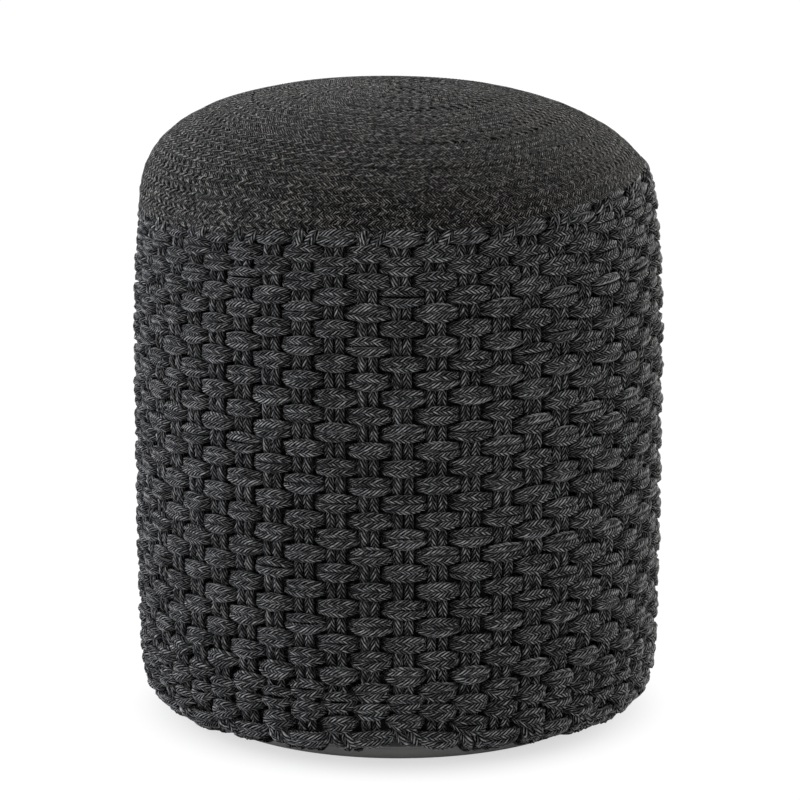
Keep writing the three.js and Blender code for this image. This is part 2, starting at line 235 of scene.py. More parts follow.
def crown_point(theta, share, depth):
    """Point of the crown at a share of the way from its middle to the rim, set back along the
    normal.

    Radius and height are read from the table with straight mixing both ways."""
    a = (theta % TAU) / TAU * (CROWN_ROWS.shape[0] - 1)
    b = np.clip(share, 0, 1) * (CROWN_ROWS.shape[2] - 1)
    i = np.minimum(a.astype(int), CROWN_ROWS.shape[0] - 2)
    j = np.clip(b.astype(int), 1, CROWN_ROWS.shape[2] - 2)
    past_i, past_j = a - i, b - j

    def read(table):
        here, on = table[i, j], table[i, j + 1]
        beside, beside_on = table[i + 1, j], table[i + 1, j + 1]
        near = here * (1 - past_j) + on * past_j
        far = beside * (1 - past_j) + beside_on * past_j
        slope = (on - here) * (1 - past_i) + (beside_on - beside) * past_i
        return near * (1 - past_i) + far * past_i, slope

    radius, outwards = read(CROWN_ROWS[:, 0])
    z, upwards = read(CROWN_ROWS[:, 1])
    size = np.maximum(np.hypot(outwards, upwards), 1e-9)
    return around(theta, radius + depth * upwards / size, z - depth * outwards / size)


# Meshes


def make_piece(name, points, loops, counts, uvs=None, material=None, smooth=True):
    """Object from arrays: points (n, 3), corner indices, corners per face and the corners' UV
    places."""
    mesh = bpy.data.meshes.new(name)
    mesh.vertices.add(len(points))
    mesh.vertices.foreach_set("co", np.asarray(points, np.float32).ravel())
    mesh.loops.add(len(loops))
    mesh.loops.foreach_set("vertex_index", np.asarray(loops, np.int32))
    mesh.polygons.add(len(counts))
    starts = np.concatenate([[0], np.cumsum(counts)[:-1]])
    mesh.polygons.foreach_set("loop_start", starts.astype(np.int32))
    mesh.polygons.foreach_set("use_smooth", np.full(len(counts), smooth))
    if uvs is not None:
        layer = mesh.uv_layers.new(name="UVMap")
        layer.data.foreach_set("uv", np.asarray(uvs, np.float32).ravel())
    mesh.update(calc_edges=True)
    mesh.validate()
    piece = bpy.data.objects.new(name, mesh)
    bpy.context.scene.collection.objects.link(piece)
    if material is not None:
        mesh.materials.append(material)
    return piece


def grid(rows, columns, closed_rows, closed_columns):
    """Corner rows and columns of the quads of a grid, unwrapped, wound so that row x column looks
    inwards."""
    i, j = np.meshgrid(
        np.arange(rows if closed_rows else rows - 1),
        np.arange(columns if closed_columns else columns - 1),
        indexing="ij",
    )
    i, j = i.ravel(), j.ravel()
    return np.stack([i, i, i + 1, i + 1], -1), np.stack([j, j + 1, j + 1, j], -1)


def lathe(name, outline, segments, material, smooth=True):
    """Outline of (radius, height) pairs, turned about the upright axis.

    It starts and ends on the axis, where a fan closes it, or it is a closed ring. UV is the way
    round at the widest place and the way along the outline, in metres."""
    outline = np.asarray(outline, float)
    closed = outline[0, 0] > 1e-6
    length = np.concatenate([[0], np.cumsum(np.linalg.norm(np.diff(outline, axis=0), axis=1))])
    length = np.append(length, length[-1] + np.linalg.norm(outline[0] - outline[-1]))
    rings = outline if closed else outline[1:-1]
    lengths = length if closed else length[1:]
    reach = outline[:, 0].max() * TAU / segments
    angle = np.arange(segments) * TAU / segments
    points = around(angle[None, :], rings[:, :1], rings[:, 1:] + 0 * angle[None, :]).reshape(-1, 3)
    i, j = grid(len(rings), segments, closed, True)
    loops = [((i % len(rings)) * segments + j % segments).ravel()]
    counts = [np.full(len(i), 4)]
    uvs = [np.stack([j * reach, lengths[i]], -1).reshape(-1, 2)]
    if not closed:
        step = np.arange(segments)
        after = (step + 1) % segments
        last = len(points) - segments
        tip, end = np.full(segments, len(points)), np.full(segments, len(points) + 1)
        loops.append(np.stack([tip, after, step], -1).ravel())
        loops.append(np.stack([last + step, last + after, end], -1).ravel())
        counts.append(np.full(2 * segments, 3))
        rows = np.tile([0, 1, 1], (segments, 1)), np.tile([-3, -3, -2], (segments, 1))
        half = step + 0.5
        columns = np.stack([half, step + 1, step], -1), np.stack([step, step + 1, half], -1)
        for row, column in zip(rows, columns):
            uvs.append(np.stack([column * reach, length[row]], -1).reshape(-1, 2))
        none = np.zeros(2)
        points = np.vstack([points, around(none, none, outline[[0, -1], 1])])
    loops, counts, uvs = np.concatenate(loops), np.concatenate(counts), np.vstack(uvs)
    return make_piece(name, points, loops, counts, uvs, material, smooth)


def block(low, high, flat=0.35, plan=0.35, rings=3, segments=8, axis=2, taper=0.0):
    """Closed rounded block between two corners: a superellipsoid about the given axis.

    A ring's place and size are powers of the sine and cosine of its latitude, and its outline takes
    the same powers of the angle's sine and cosine. The taper widens one end of the first side."""
    low, high = np.asarray(low, float), np.asarray(high, float)
    latitude = (np.arange(rings) + 0.5) / rings * np.pi - np.pi / 2
    angle = (np.arange(segments) + 0.5) / segments * TAU

    def power(value, exponent):
        return np.sign(value) * np.abs(value) ** exponent

    size = power(np.cos(latitude), flat)[:, None]
    shape = np.stack(
        [
            size * power(np.cos(angle), plan),
            size * power(np.sin(angle), plan),
            power(np.sin(latitude), flat)[:, None] + 0 * angle,
        ],
        -1,
    ).reshape(-1, 3)
    shape = np.vstack([shape, [[0, 0, -1], [0, 0, 1]]])
    shape /= np.abs(shape).max(axis=0)
    shape = np.roll(shape, axis + 1, axis=1)
    shape[:, 1] *= 1 + taper * shape[:, 0]
    points = (low + high) / 2 + shape * (high - low) / 2
    i, j = grid(rings, segments, False, True)
    quads = i * segments + j % segments
    step = np.arange(segments)
    after = (step + 1) % segments
    last = (rings - 1) * segments
    tip = np.full(segments, rings * segments)
    bottom, top = [tip, after, step], [last + step, last + after, tip + 1]
    fans = np.vstack([np.stack(bottom, -1), np.stack(top, -1)])
    loops = np.concatenate([quads.ravel(), fans.ravel()])
    return points, loops, np.concatenate([np.full(len(quads), 4), np.full(len(fans), 3)])


def blocks_piece(name, blocks, material):
    """One piece of several closed blocks. UV is the plan in metres."""
    points, loops, counts = zip(*blocks)
    starts = np.concatenate([[0], np.cumsum([len(part) for part in points])])
    loops = np.concatenate([part + start for part, start in zip(loops, starts)])
    points = np.vstack(points)
    return make_piece(name, points, loops, np.concatenate(counts), points[loops][:, :2], material)


# A cord's outline is read at these eighths of a turn from its outer face, and closed by a flat back
EIGHTH = TAU / 8
ROUND_BACK = np.arange(-3, 4)
FLAT_BACK = np.arange(-2, 3)
# A strand column takes two eighths, counted from this many eighths before the outer face
COLUMNS = 4
COLUMN_START = 3
# Height of the line of strand tips between two columns, in strand reliefs
TIP_SHARE = -0.35
# Depth difference at which a cord's outward direction is read
OUT_STEP = 0.001


class Cords:
    """Gathers braided cords, which then make one piece."""

    def __init__(self):
        self.points, self.loops, self.counts, self.uvs, self.total = [], [], [], [], 0

    def add(self, path, out, settings, pitch, tall, wide, roll, family, offset, eighths, closed):
        """Braided cord along a path.

        The path is read at each ring's length plus a zigzag of the angle, a sine of the eighths of
        a turn, so a ring follows the strands. Rings are half a strand apart, and the middle of a
        strand's column stands out on every second ring, staggered from column to column. tall and
        wide are the half sizes along and across out, roll turns the outline about the path, family
        is 0 or 1 for a column's middle or a line of tips on the outer face, and offset is where the
        count of strands starts."""
        if closed:
            path, out = np.vstack([path, path[:1]]), np.vstack([out, out[:1]])
            tall, wide, roll = (np.append(values, values[0]) for values in (tall, wide, roll))
        step = np.linalg.norm(np.diff(path, axis=0), axis=1)
        length = np.concatenate([[0], np.cumsum(step)])
        along = np.gradient(path, axis=0)
        if closed:
            along[0] = along[-1] = path[1] - path[-2]
        along /= np.linalg.norm(along, axis=1)[:, None]
        out = out - (out * along).sum(1)[:, None] * along
        out /= np.linalg.norm(out, axis=1)[:, None]
        across = np.cross(along, out)
        total = length[-1]
        rings = 2 * int(round(total / pitch))
        tip = (eighths + family) % 2 == 1
        column = (eighths + COLUMN_START + family) / 2
        reach = settings.strand_reach * pitch / settings.strand_pitch
        zigzag = 0.5 * reach * (1 - np.sin(np.pi / 2 * (eighths + family)))
        ring = np.arange(rings if closed else rings + 1)
        even = ring[:, None] * (total / rings)
        at = even + zigzag[None, :] - reach / 2
        if closed:
            at = at % total
        else:
            room = np.clip(np.minimum(ring, rings - ring) / settings.end_rings, 0, 1)
            at = even + (at - even) * room[:, None]
        high_ring = (ring[:, None] + np.floor(column)) % 2 == 0
        ridge = settings.strand_relief * np.where(tip, TIP_SHARE, np.where(high_ring, 1.0, -1.0))

        def read(values):
            return np.interp(at, length, values)

        turned = EIGHTH * eighths[None, :] + read(roll)
        high = (read(tall) + ridge) * np.cos(turned)
        side = (read(wide) + ridge) * np.sin(turned)
        axes = [(path[:, k], out[:, k], across[:, k]) for k in range(3)]
        place = np.stack([read(p) + high * read(o) + side * read(a) for p, o, a in axes], -1)
        count = len(eighths)
        i, j = grid(len(ring), count, closed, True)
        loops = (i % len(ring)) * count + j % count + self.total
        v = np.append(column, column[0] + COLUMNS)
        self.points.append(place.reshape(-1, 3))
        self.loops.append(loops.ravel())
        self.counts.append(np.full(len(loops), 4))
        self.uvs.append(np.stack([i / 2 + offset, v[j]], -1).reshape(-1, 2))
        if not closed:
            ends = np.stack([np.arange(count)[::-1], np.arange(count) + (len(ring) - 1) * count])
            self.loops.append(ends.ravel() + self.total)
            self.counts.append(np.full(2, count))
            self.uvs.append(np.tile([offset, 0.5], (2 * count, 1)))
        self.total += len(ring) * count

    def piece(self, name, material):
        points, uvs = np.vstack(self.points), np.vstack(self.uvs)
        loops, counts = np.concatenate(self.loops), np.concatenate(self.counts)
        return make_piece(name, points, loops, counts, uvs, material)


def mark_recess(piece):
    """Keeps each point's depth under the woven skin: the skin's radius there less the point's
    own, from which the braid material paints shade in the recesses."""
    mesh = piece.data
    place = np.empty(3 * len(mesh.vertices))
    mesh.vertices.foreach_get("co", place)
    x, y, z = place.reshape(-1, 3).T
    recess = skin_radius(np.arctan2(x, -y), z) - np.hypot(x, y)
    attribute = mesh.attributes.new("recess", "FLOAT", "POINT")
    attribute.data.foreach_set("value", recess.astype(np.float32))
    return piece


# Materials


def linear(code):
    """sRGB hex value to linear red, green and blue with alpha 1."""
    parts = [int(code[k : k + 2], 16) / 255 for k in (1, 3, 5)]
    return (*[c / 12.92 if c <= 0.04045 else ((c + 0.055) / 1.055) ** 2.4 for c in parts], 1.0)


def add_node(material, kind, inputs=None, **settings):
    """Adds a node with its settings. An input that is a node or a socket is linked, any other is
    set."""
    tree = material.node_tree
    node = tree.nodes.new(kind)
    for key, value in settings.items():
        setattr(node, key, value)
    for key, value in (inputs or {}).items():
        if isinstance(value, bpy.types.Node):
            value = value.outputs[0]
        if isinstance(value, bpy.types.NodeSocket):
            tree.links.new(value, node.inputs[key])
        else:
            node.inputs[key].default_value = value
    return node


def new_material(name):
    material = bpy.data.materials.new(name)
    material.use_nodes = True
    material.node_tree.nodes.clear()
    return material


def finish_material(material, shader):
    add_node(material, "ShaderNodeOutputMaterial", {"Surface": shader})
    return material


# Mottles to a metre on cloth and on handled surfaces, 4.5 and 55 mm apart, and how much handling
# roughens
CLOTH_MOTTLE = 220.0
HANDLING_MOTTLE = 18.0
HANDLED = 0.06
MATH = "ShaderNodeMath"
MIX = "ShaderNodeMix"
NOISE = "ShaderNodeTexNoise"
MAP_RANGE = "ShaderNodeMapRange"
PRINCIPLED = "ShaderNodeBsdfPrincipled"


def braid_material(name, dark, middle, light, patch_size, patch_tone, wander, yarns, narrow):
    """Braided cord of mottled polyester yarn, solution dyed: matt, each strand a bundle of light
    and dark fibres. Painted shade darkens each strand away from its back, to near black in the
    lines between the strands, and darkens the cords that lie deeper in the weave's recesses.

    The UV map counts strands along the cord and strand columns round it. Each strand is so many
    yarns, and a column's yarns are half a yarn on from the next column's. A cosine along, to the
    power that narrows it, times a root of a sine across gives each yarn its round back. The fibres
    are a noise drawn out along the strand, in clumps about 3 mm long and 1.3 mm wide with finer
    ones in them: coarser than real fibres, which the render can't show. Patches of the given size
    add their tone, and the strands wander by a share of a strand."""
    m = new_material(name)
    uv = add_node(m, "ShaderNodeUVMap", uv_map="UVMap")
    parts = add_node(m, "ShaderNodeSeparateXYZ", {"Vector": uv})
    where = add_node(m, "ShaderNodeTexCoord").outputs["Object"]
    drift = add_node(m, NOISE, {"Vector": where, "Scale": 1 / WANDER_SIZE, "Detail": 1.0})
    drift = add_node(m, "ShaderNodeSeparateColor", {"Color": drift.outputs["Color"]})
    by_length, by_turn = parts.outputs["X"], parts.outputs["Y"]
    red, green = drift.outputs["Red"], drift.outputs["Green"]
    side_wander = SIDE_WANDER * wander
    along = add_node(m, MATH, {0: red, 1: wander, 2: by_length}, operation="MULTIPLY_ADD")
    away = add_node(m, MATH, {0: green, 1: 0.5}, operation="SUBTRACT")
    level = add_node(m, MATH, {0: away, 1: side_wander, 2: by_turn}, operation="MULTIPLY_ADD")
    column = add_node(m, MATH, {0: level}, operation="FLOOR")
    across = add_node(m, MATH, {0: level}, operation="FRACT")
    yarn = add_node(m, MATH, {0: along, 1: yarns}, operation="MULTIPLY")
    strand = add_node(m, MATH, {0: column, 1: 0.5, 2: yarn}, operation="MULTIPLY_ADD")
    number = add_node(m, MATH, {0: strand}, operation="ROUND")
    turn = add_node(m, MATH, {0: strand, 1: TAU}, operation="MULTIPLY")
    wave = add_node(m, MATH, {0: turn}, operation="COSINE")
    back = add_node(m, MATH, {0: wave, 1: 0.5, 2: 0.5}, operation="MULTIPLY_ADD")
    half_turn = add_node(m, MATH, {0: across, 1: math.pi}, operation="MULTIPLY")
    side = add_node(m, MATH, {0: half_turn}, operation="SINE")
    arch = add_node(m, MATH, {0: side, 1: ARCH_POWER}, operation="POWER")
    round_back = add_node(m, MATH, {0: back, 1: narrow}, operation="POWER")
    hill = add_node(m, MATH, {0: round_back, 1: arch}, operation="MULTIPLY")
    own = add_node(m, "ShaderNodeCombineXYZ", {"X": number, "Y": column})
    tone = add_node(m, "ShaderNodeTexWhiteNoise", {"Vector": own}, noise_dimensions="2D")
    fibre_x = add_node(m, MATH, {0: strand, 1: FIBRES_ACROSS}, operation="MULTIPLY")
    fibre_y = add_node(m, MATH, {0: by_turn, 1: FIBRES_ALONG}, operation="MULTIPLY")
    fibre_place = add_node(m, "ShaderNodeCombineXYZ", {"X": fibre_x, "Y": fibre_y})
    fibre = add_node(
        m, NOISE, {"Vector": fibre_place, "Scale": 1.0, "Detail": 3.0, "Roughness": 0.65},
        noise_dimensions="2D",
    )
    patch = add_node(
        m, NOISE, {"Vector": where, "Scale": 1 / patch_size, "Detail": 2.0, "Roughness": 0.5}
    )
    by_strand = add_node(m, MATH, {0: tone, 1: STRAND_TONE, 2: fibre}, operation="MULTIPLY_ADD")
    by_patch = add_node(m, MATH, {0: patch, 1: patch_tone, 2: by_strand}, operation="MULTIPLY_ADD")
    half = 0.5 * (1 + STRAND_TONE + patch_tone)
    low, high = half - TONE_REACH, half + TONE_REACH
    to_middle = add_node(m, MAP_RANGE, {"Value": by_patch, "From Min": low, "From Max": half})
    to_light = add_node(m, MAP_RANGE, {"Value": by_patch, "From Min": half, "From Max": high})
    lower = add_node(m, MIX, {"Factor": to_middle, "A": dark, "B": middle}, data_type="RGBA")
    lower = lower.outputs["Result"]
    cloth = add_node(m, MIX, {"Factor": to_light, "A": lower, "B": light}, data_type="RGBA")
    cloth = cloth.outputs["Result"]
    # Painted shade across each strand: full tone on its back, near black in the grooves between
    # strands
    painted_shade = {0: hill, 1: 1 - GROOVE_SHADE_TONE, 2: GROOVE_SHADE_TONE}
    painted_shade = add_node(m, MATH, painted_shade, operation="MULTIPLY_ADD")
    # Painted shade in the weave's recesses, darker the deeper a point lies under the woven skin
    recess = add_node(m, "ShaderNodeAttribute", attribute_name="recess").outputs["Fac"]
    depths = {"From Min": UNSHADED_DEPTH, "From Max": FULL_SHADE_DEPTH, "To Min": 1.0, "To Max": RECESS_SHADE_TONE}
    recess_shade = add_node(m, MAP_RANGE, {"Value": recess, **depths})
    painted_shade = add_node(m, MATH, {0: painted_shade, 1: recess_shade}, operation="MULTIPLY")
    shade = add_node(m, "ShaderNodeCombineColor", {"Red": painted_shade, "Green": painted_shade, "Blue": painted_shade})
    colour = add_node(
        m, MIX, {"Factor": 1.0, "A": cloth, "B": shade}, data_type="RGBA", blend_type="MULTIPLY"
    )
    height = add_node(m, MATH, {0: fibre, 1: FIBRE_RELIEF, 2: hill}, operation="MULTIPLY_ADD")
    bump = add_node(m, "ShaderNodeBump", {"Strength": 0.8, "Distance": 0.0005, "Height": height})
    gloss = add_node(m, MATH, {0: painted_shade, 1: BACK_GLOSS}, operation="MULTIPLY")
    sheen = add_node(m, MATH, {0: painted_shade, 1: BACK_SHEEN}, operation="MULTIPLY")
    shader = add_node(
        m, PRINCIPLED,
        {
            "Base Color": colour.outputs["Result"], "Roughness": 0.68, "Specular IOR Level": gloss,
            "Sheen Weight": sheen, "Sheen Roughness": 0.45, "Normal": bump,
        },
    )
    return finish_material(m, shader)


def woven_material(name, dark, light, thread, roughness):
    """Plain woven polyester cloth: dull, with a fine check of threads.

    The UV map is in metres, and two sine waves a thread apart cross to lift every second crossing.
    The threads are drawn two to three times as coarse as real ones, so that a render can show
    them."""
    m = new_material(name)
    uv = add_node(m, "ShaderNodeUVMap", uv_map="UVMap")
    parts = add_node(m, "ShaderNodeSeparateXYZ", {"Vector": uv})
    turn_x = add_node(m, MATH, {0: parts.outputs["X"], 1: math.pi / thread}, operation="MULTIPLY")
    turn_y = add_node(m, MATH, {0: parts.outputs["Y"], 1: math.pi / thread}, operation="MULTIPLY")
    wave_x = add_node(m, MATH, {0: turn_x}, operation="SINE")
    wave_y = add_node(m, MATH, {0: turn_y}, operation="SINE")
    crossing = add_node(m, MATH, {0: wave_x, 1: wave_y}, operation="MULTIPLY")
    over = add_node(m, MATH, {0: crossing}, operation="ABSOLUTE")
    where = add_node(m, "ShaderNodeTexCoord").outputs["Object"]
    noise = add_node(m, NOISE, {"Vector": where, "Scale": CLOTH_MOTTLE, "Detail": 3.0})
    both = add_node(m, MATH, {0: over, 1: noise}, operation="ADD")
    share = add_node(m, MAP_RANGE, {"Value": both, "From Min": 0.4, "From Max": 1.6})
    colour = add_node(m, MIX, {"Factor": share, "A": dark, "B": light}, data_type="RGBA")
    bump = add_node(m, "ShaderNodeBump", {"Strength": 0.6, "Distance": 0.0003, "Height": over})
    shader = add_node(
        m, PRINCIPLED,
        {
            "Base Color": colour.outputs["Result"], "Roughness": roughness, "Sheen Weight": 0.2,
            "Normal": bump,
        },
    )
    return finish_material(m, shader)


def grained_material(name, dark, light, grain, roughness, metallic=0.0, depth=0.00005):
    """Moulded or cast surface: a soft gloss that a fine grain breaks up.

    Noise of a grain's size mixes two close tones and makes a low bump, and a wide noise turns the
    roughness a little from place to place, as handling does. The grain is coarser than a mould's or
    a casting's, about 0.1 mm, which a render can't show."""
    m = new_material(name)
    where = add_node(m, "ShaderNodeTexCoord").outputs["Object"]
    fine = {"Vector": where, "Scale": 1 / grain, "Detail": 4.0, "Roughness": 0.6}
    fine = add_node(m, NOISE, fine)
    wide = add_node(m, NOISE, {"Vector": where, "Scale": HANDLING_MOTTLE, "Detail": 3.0})
    both = add_node(m, MATH, {0: fine, 1: wide}, operation="ADD")
    share = add_node(m, MAP_RANGE, {"Value": both, "From Min": 0.7, "From Max": 1.3})
    colour = add_node(m, MIX, {"Factor": share, "A": dark, "B": light}, data_type="RGBA")
    low, high = roughness - HANDLED, roughness + HANDLED
    ends = {"From Min": 0.3, "From Max": 0.7, "To Min": low, "To Max": high}
    rough = add_node(m, MAP_RANGE, {"Value": wide, **ends})
    bump = add_node(m, "ShaderNodeBump", {"Strength": 0.5, "Distance": depth, "Height": fine})
    shader = add_node(
        m, PRINCIPLED,
        {
            "Base Color": colour.outputs["Result"], "Roughness": rough, "Metallic": metallic,
            "Normal": bump,
        },
    )
    return finish_material(m, shader)


def beads_material(name, dark, light, bead):
    """Expanded polystyrene beads: matt white balls, with shade in the gaps between them.

    Each is a round cell of a bead's size, lighter on its back."""
    m = new_material(name)
    where = add_node(m, "ShaderNodeTexCoord").outputs["Object"]
    cells = {"Vector": where, "Scale": 1 / bead, "Randomness": 0.7}
    cells = add_node(m, "ShaderNodeTexVoronoi", cells)
    away = cells.outputs["Distance"]
    share = add_node(m, MAP_RANGE, {"Value": away, "From Min": 0.2, "From Max": 0.75})
    colour = add_node(m, MIX, {"Factor": share, "A": light, "B": dark}, data_type="RGBA")
    upside = add_node(m, MATH, {0: 1.0, 1: away}, operation="SUBTRACT")
    bump = add_node(m, "ShaderNodeBump", {"Strength": 0.8, "Distance": 0.001, "Height": upside})
    shader = add_node(
        m, PRINCIPLED, {"Base Color": colour.outputs["Result"], "Roughness": 0.85, "Normal": bump}
    )
    return finish_material(m, shader)


# Settings


def metres(name, description, default, low, high):
    """Setting for a length in metres."""
    return FloatProperty(
        name=name, description=description, default=default, min=low, max=high,
        unit="LENGTH", subtype="DISTANCE",
    )


def tint(name, description, code):
    """Setting for a colour, its default an sRGB hex value."""
    return FloatVectorProperty(
        name=name, description=description, default=linear(code), min=0, max=1, size=4,
        subtype="COLOR",
    )


class FootstoolCord(bpy.types.PropertyGroup):
    """Sizes of the braided cord."""

    diameter: metres("Cord diameter", "Diameter of the braided cord", 0.0063, 0.003, 0.012)
    strand_pitch: metres(
        "Strand pitch", "Distance from strand to strand along the cord", 0.0030, 0.001, 0.01
    )
    strand_reach: metres(
        "Strand reach", "Length of cord over which a strand crosses its column", 0.0064, 0, 0.02
    )
    strand_relief: metres("Strand relief", "How far a strand's back stands out", 0.00038, 0, 0.001)
    crown_stretch: FloatProperty(
        name="Crown stretch", description="Strand pitch of the crown's cord over the wall's",
        default=1.0, min=0.5, max=3.0,
    )
    end_rings: IntProperty(
        name="End rings", description="Rings over which the zigzag dies out at a cut end",
        default=6, min=1, max=40,
    )


class FootstoolWeave(bpy.types.PropertyGroup):
    """Sizes of the weave."""

    float_depth: metres(
        "Float depth", "Depth of a weft cord's middle line at the top of its float", 0.003, 0, 0.02
    )
    dive: metres(
        "Dive", "How much deeper a weft cord runs behind the upright cords", 0.0084, 0, 0.02
    )
    warp_depth: metres(
        "Upright depth", "Mean depth of an upright cord's middle line", 0.0080, 0, 0.02
    )
    warp_swing: metres(
        "Upright swing", "How far an upright cord swings each way from its depth", 0.0020, 0, 0.01
    )
    unevenness: metres("Unevenness", "Hand-made unevenness of the cords", 0.00035, 0, 0.002)
    turns: IntProperty(
        name="Crown turns", description="Turns of the crown's coil", default=35, min=5, max=60
    )


class FootstoolColours(bpy.types.PropertyGroup):
    """Colours of the footstool."""

    yarn_dark: tint("Dark fibres", "Darkest fibres of the wall's cord", "#262628")
    yarn_middle: tint("Middle fibres", "Most fibres of the wall's cord", "#77777a")
    yarn_light: tint("Light fibres", "Lightest fibres of the wall's cord", "#cacacc")
    # The crown's cord is the wall's cord with a warmer hue of its own; its tones are set darker to
    # paint shade on the crown
    crown_dark: tint("Dark crown fibres", "Darkest fibres of the crown's cord", "#0e0d0c")
    crown_middle: tint("Middle crown fibres", "Most fibres of the crown's cord", "#454443")
    crown_light: tint("Light crown fibres", "Lightest fibres of the crown's cord", "#bab7b2")
    liner_dark: tint("Dark liner threads", "Darkest threads of the liner", "#0d0d0e")
    liner_light: tint("Light liner threads", "Lightest threads of the liner", "#1d1d1f")
    bead_dark: tint("Bead gaps", "Gaps between the filling's beads", "#b9b8b2")
    bead_light: tint("Beads", "Backs of the filling's beads", "#efeeea")
    # The base is dark grey plastic; these tones are set paler to paint the light thrown up from the
    # floor
    base_dark: tint("Dark base grain", "Darkest grain of the base panel", "#a6a5a4")
    base_light: tint("Light base grain", "Lightest grain of the base panel", "#b6b5b4")
    tape_dark: tint("Dark tape threads", "Darkest threads of the zip's tapes", "#121214")
    tape_light: tint("Light tape threads", "Lightest threads of the zip's tapes", "#2c2c30")
    teeth_dark: tint("Dark teeth grain", "Darkest grain of the zip's teeth", "#1b1b1e")
    teeth_light: tint("Light teeth grain", "Lightest grain of the zip's teeth", "#29292d")
    metal_dark: tint("Dark metal grain", "Darkest grain of the zip's metal", "#6b6c70")
    metal_light: tint("Light metal grain", "Lightest grain of the zip's metal", "#8b8c90")


def slow_wave(rng, angle, size, waves=(2, 3, 5, 7, 11)):
    """Sum of a few sine waves round the drum with random phases, its swing about the given size."""
    total = np.zeros_like(angle)
    for wave in waves:
        total += np.sin(wave * angle + rng.uniform(0, TAU)) / math.sqrt(len(waves))
    return size * total


# Share of the cords that turn a line of strand tips outwards
OUTWARD_TIPS = 0.75

# A weft cord. Shares are of a pair's width, from the middle of a float outwards
FLOAT_POINTS = 64
CREST_SHARE = 0.9
FLAT_SHARE = 0.405
DIVE_SHARE = 0.29
SPREAD_START = 0.05
SPREAD_SHARE = 0.56
ARCH_DEPTH = 0.0005
# The lower rows crowd together, from this one on and fully after so many more
CROWDED_FROM = 24
CROWDED_OVER = 3
# The flat part is longer on the bottom hem, and shorter on crowded rows but little so on their
# upper cord
HEM_FLAT = 0.05
CROWDED_FLAT = 0.06
UPPER_SPARED = 0.8
# Measures in a plain row, and what full crowding and the bottom hem add to each. Gaps are from a
# row's middle to a cord's, gaps and widths are in cord radii, rise and depth in metres
FLOAT_RISE = (0.0, 0.0010, 0.0010)
END_GAP = (0.72, -0.40, 0.02)
MIDDLE_GAP = (0.32, 0.39, 0.0)
UPPER_DEPTH = (0.0009, 0.0022, 0.0)
END_WIDTH = (0.78, 0.0, 0.17)
MIDDLE_WIDTH = (0.33, 0.03, -0.18)
WEFT_TALL = 0.97
END_TALL = 0.03
WEFT_ROLL = 0.22
# Unevenness of the flat part's share, and of gap, float height and row height in parts of the
# setting's
FLAT_JITTER = 0.015
GAP_JITTER = 0.5
FLOAT_JITTER = 0.8
ROW_JITTER = 1.2


def weft_cord(gather, row, side, cord, weave, rng, offset):
    """One cord of a weft row.

    With size the way from the middle of a float in pair widths, the depth is flat to FLAT_SHARE and
    falls by the dive over the next DIVE_SHARE on half a cosine. The two cords lie one over the
    other on the float. They spread and widen towards its middle on half a cosine, and are pinched
    at its ends."""
    floats = WARP_PAIRS // 2
    theta = np.arange(floats * FLOAT_POINTS) / (floats * FLOAT_POINTS) * TAU
    way = (theta - FRONT_PAIR_ANGLE - (row % 2) * PAIR_ANGLE) / PAIR_ANGLE + 1
    size = np.abs(way % 2 - 1)
    number = np.floor(way / 2).astype(int) % floats
    crest = 1 - ease(size / CREST_SHARE)
    spread = 1 - ease((size - SPREAD_START) / SPREAD_SHARE)
    jitter, radius = weave.unevenness, cord.diameter / 2
    hem = row == LAST_ROW
    crowding = 0.0 if hem else float(np.clip((row - CROWDED_FROM) / CROWDED_OVER, 0, 1))

    def here(measure):
        plain, crowded, at_hem = measure
        return plain + crowded * crowding + at_hem * hem

    def uneven(swing):
        return rng.normal(0, swing, floats)[number]

    flat = FLAT_SHARE + HEM_FLAT * hem - CROWDED_FLAT * crowding * (1 - UPPER_SPARED * side)
    flat = flat + uneven(FLAT_JITTER)
    depth = weave.float_depth + weave.dive * ease((size - flat) / DIVE_SHARE)
    depth = depth - here(FLOAT_RISE) * crest + ARCH_DEPTH * np.clip(size / FLAT_SHARE, 0, 1) ** 2
    depth = depth + crest * uneven(jitter)
    apart = radius * (here(END_GAP) + here(MIDDLE_GAP) * spread)
    apart = apart + crest * np.abs(uneven(GAP_JITTER * jitter))
    height = ROW_HEIGHTS[row] + side * apart + crest * uneven(FLOAT_JITTER * jitter)
    height = sagged(theta, height + slow_wave(rng, theta, ROW_JITTER * jitter))
    depth = depth + here(UPPER_DEPTH) * (1 - spread) * (side > 0)
    path = wall_point(theta, height, depth)
    out = wall_point(theta, height, depth - OUT_STEP) - path
    tall = radius * (WEFT_TALL + END_TALL * (1 - spread))
    wide = radius * (here(END_WIDTH) + here(MIDDLE_WIDTH) * spread)
    roll = slow_wave(rng, theta, WEFT_ROLL, (3, 5, 8, 13))
    family = int(rng.random() < OUTWARD_TIPS)
    pitch = cord.strand_pitch
    gather.add(path, out, cord, pitch, tall, wide, roll, family, offset, ROUND_BACK, True)


# An upright cord. Rows are counted from the top hem down
WARP_POINTS = 1100
WARP_START = -0.9
WARP_BEYOND = 1.5
LOWEST_HEIGHT = 0.0166
# Half a pair's distance, and a cord's half sizes, in cord radii, and what the swing takes off
WARP_GAP = 1.19
GAP_SWING = 0.03
WARP_TALL = 0.92
WARP_WIDE = 1.05
WIDE_SWING = 0.02
WARP_ROLL = 0.3
# Unevenness of gap, depth and drift in parts of the setting's, and waves to a row
WARP_GAP_JITTER = 0.5
WARP_DEPTH_JITTER = 0.6
DRIFT_JITTER = 0.8
ROW_WAVE = 0.2
# The upper end tucks in under the crown and the lower end turns in over the base: metres, first row
# and rows
TUCK_IN = (0.004, -0.1, 0.8)
TURN_IN = (0.021, 0.55, 0.85)
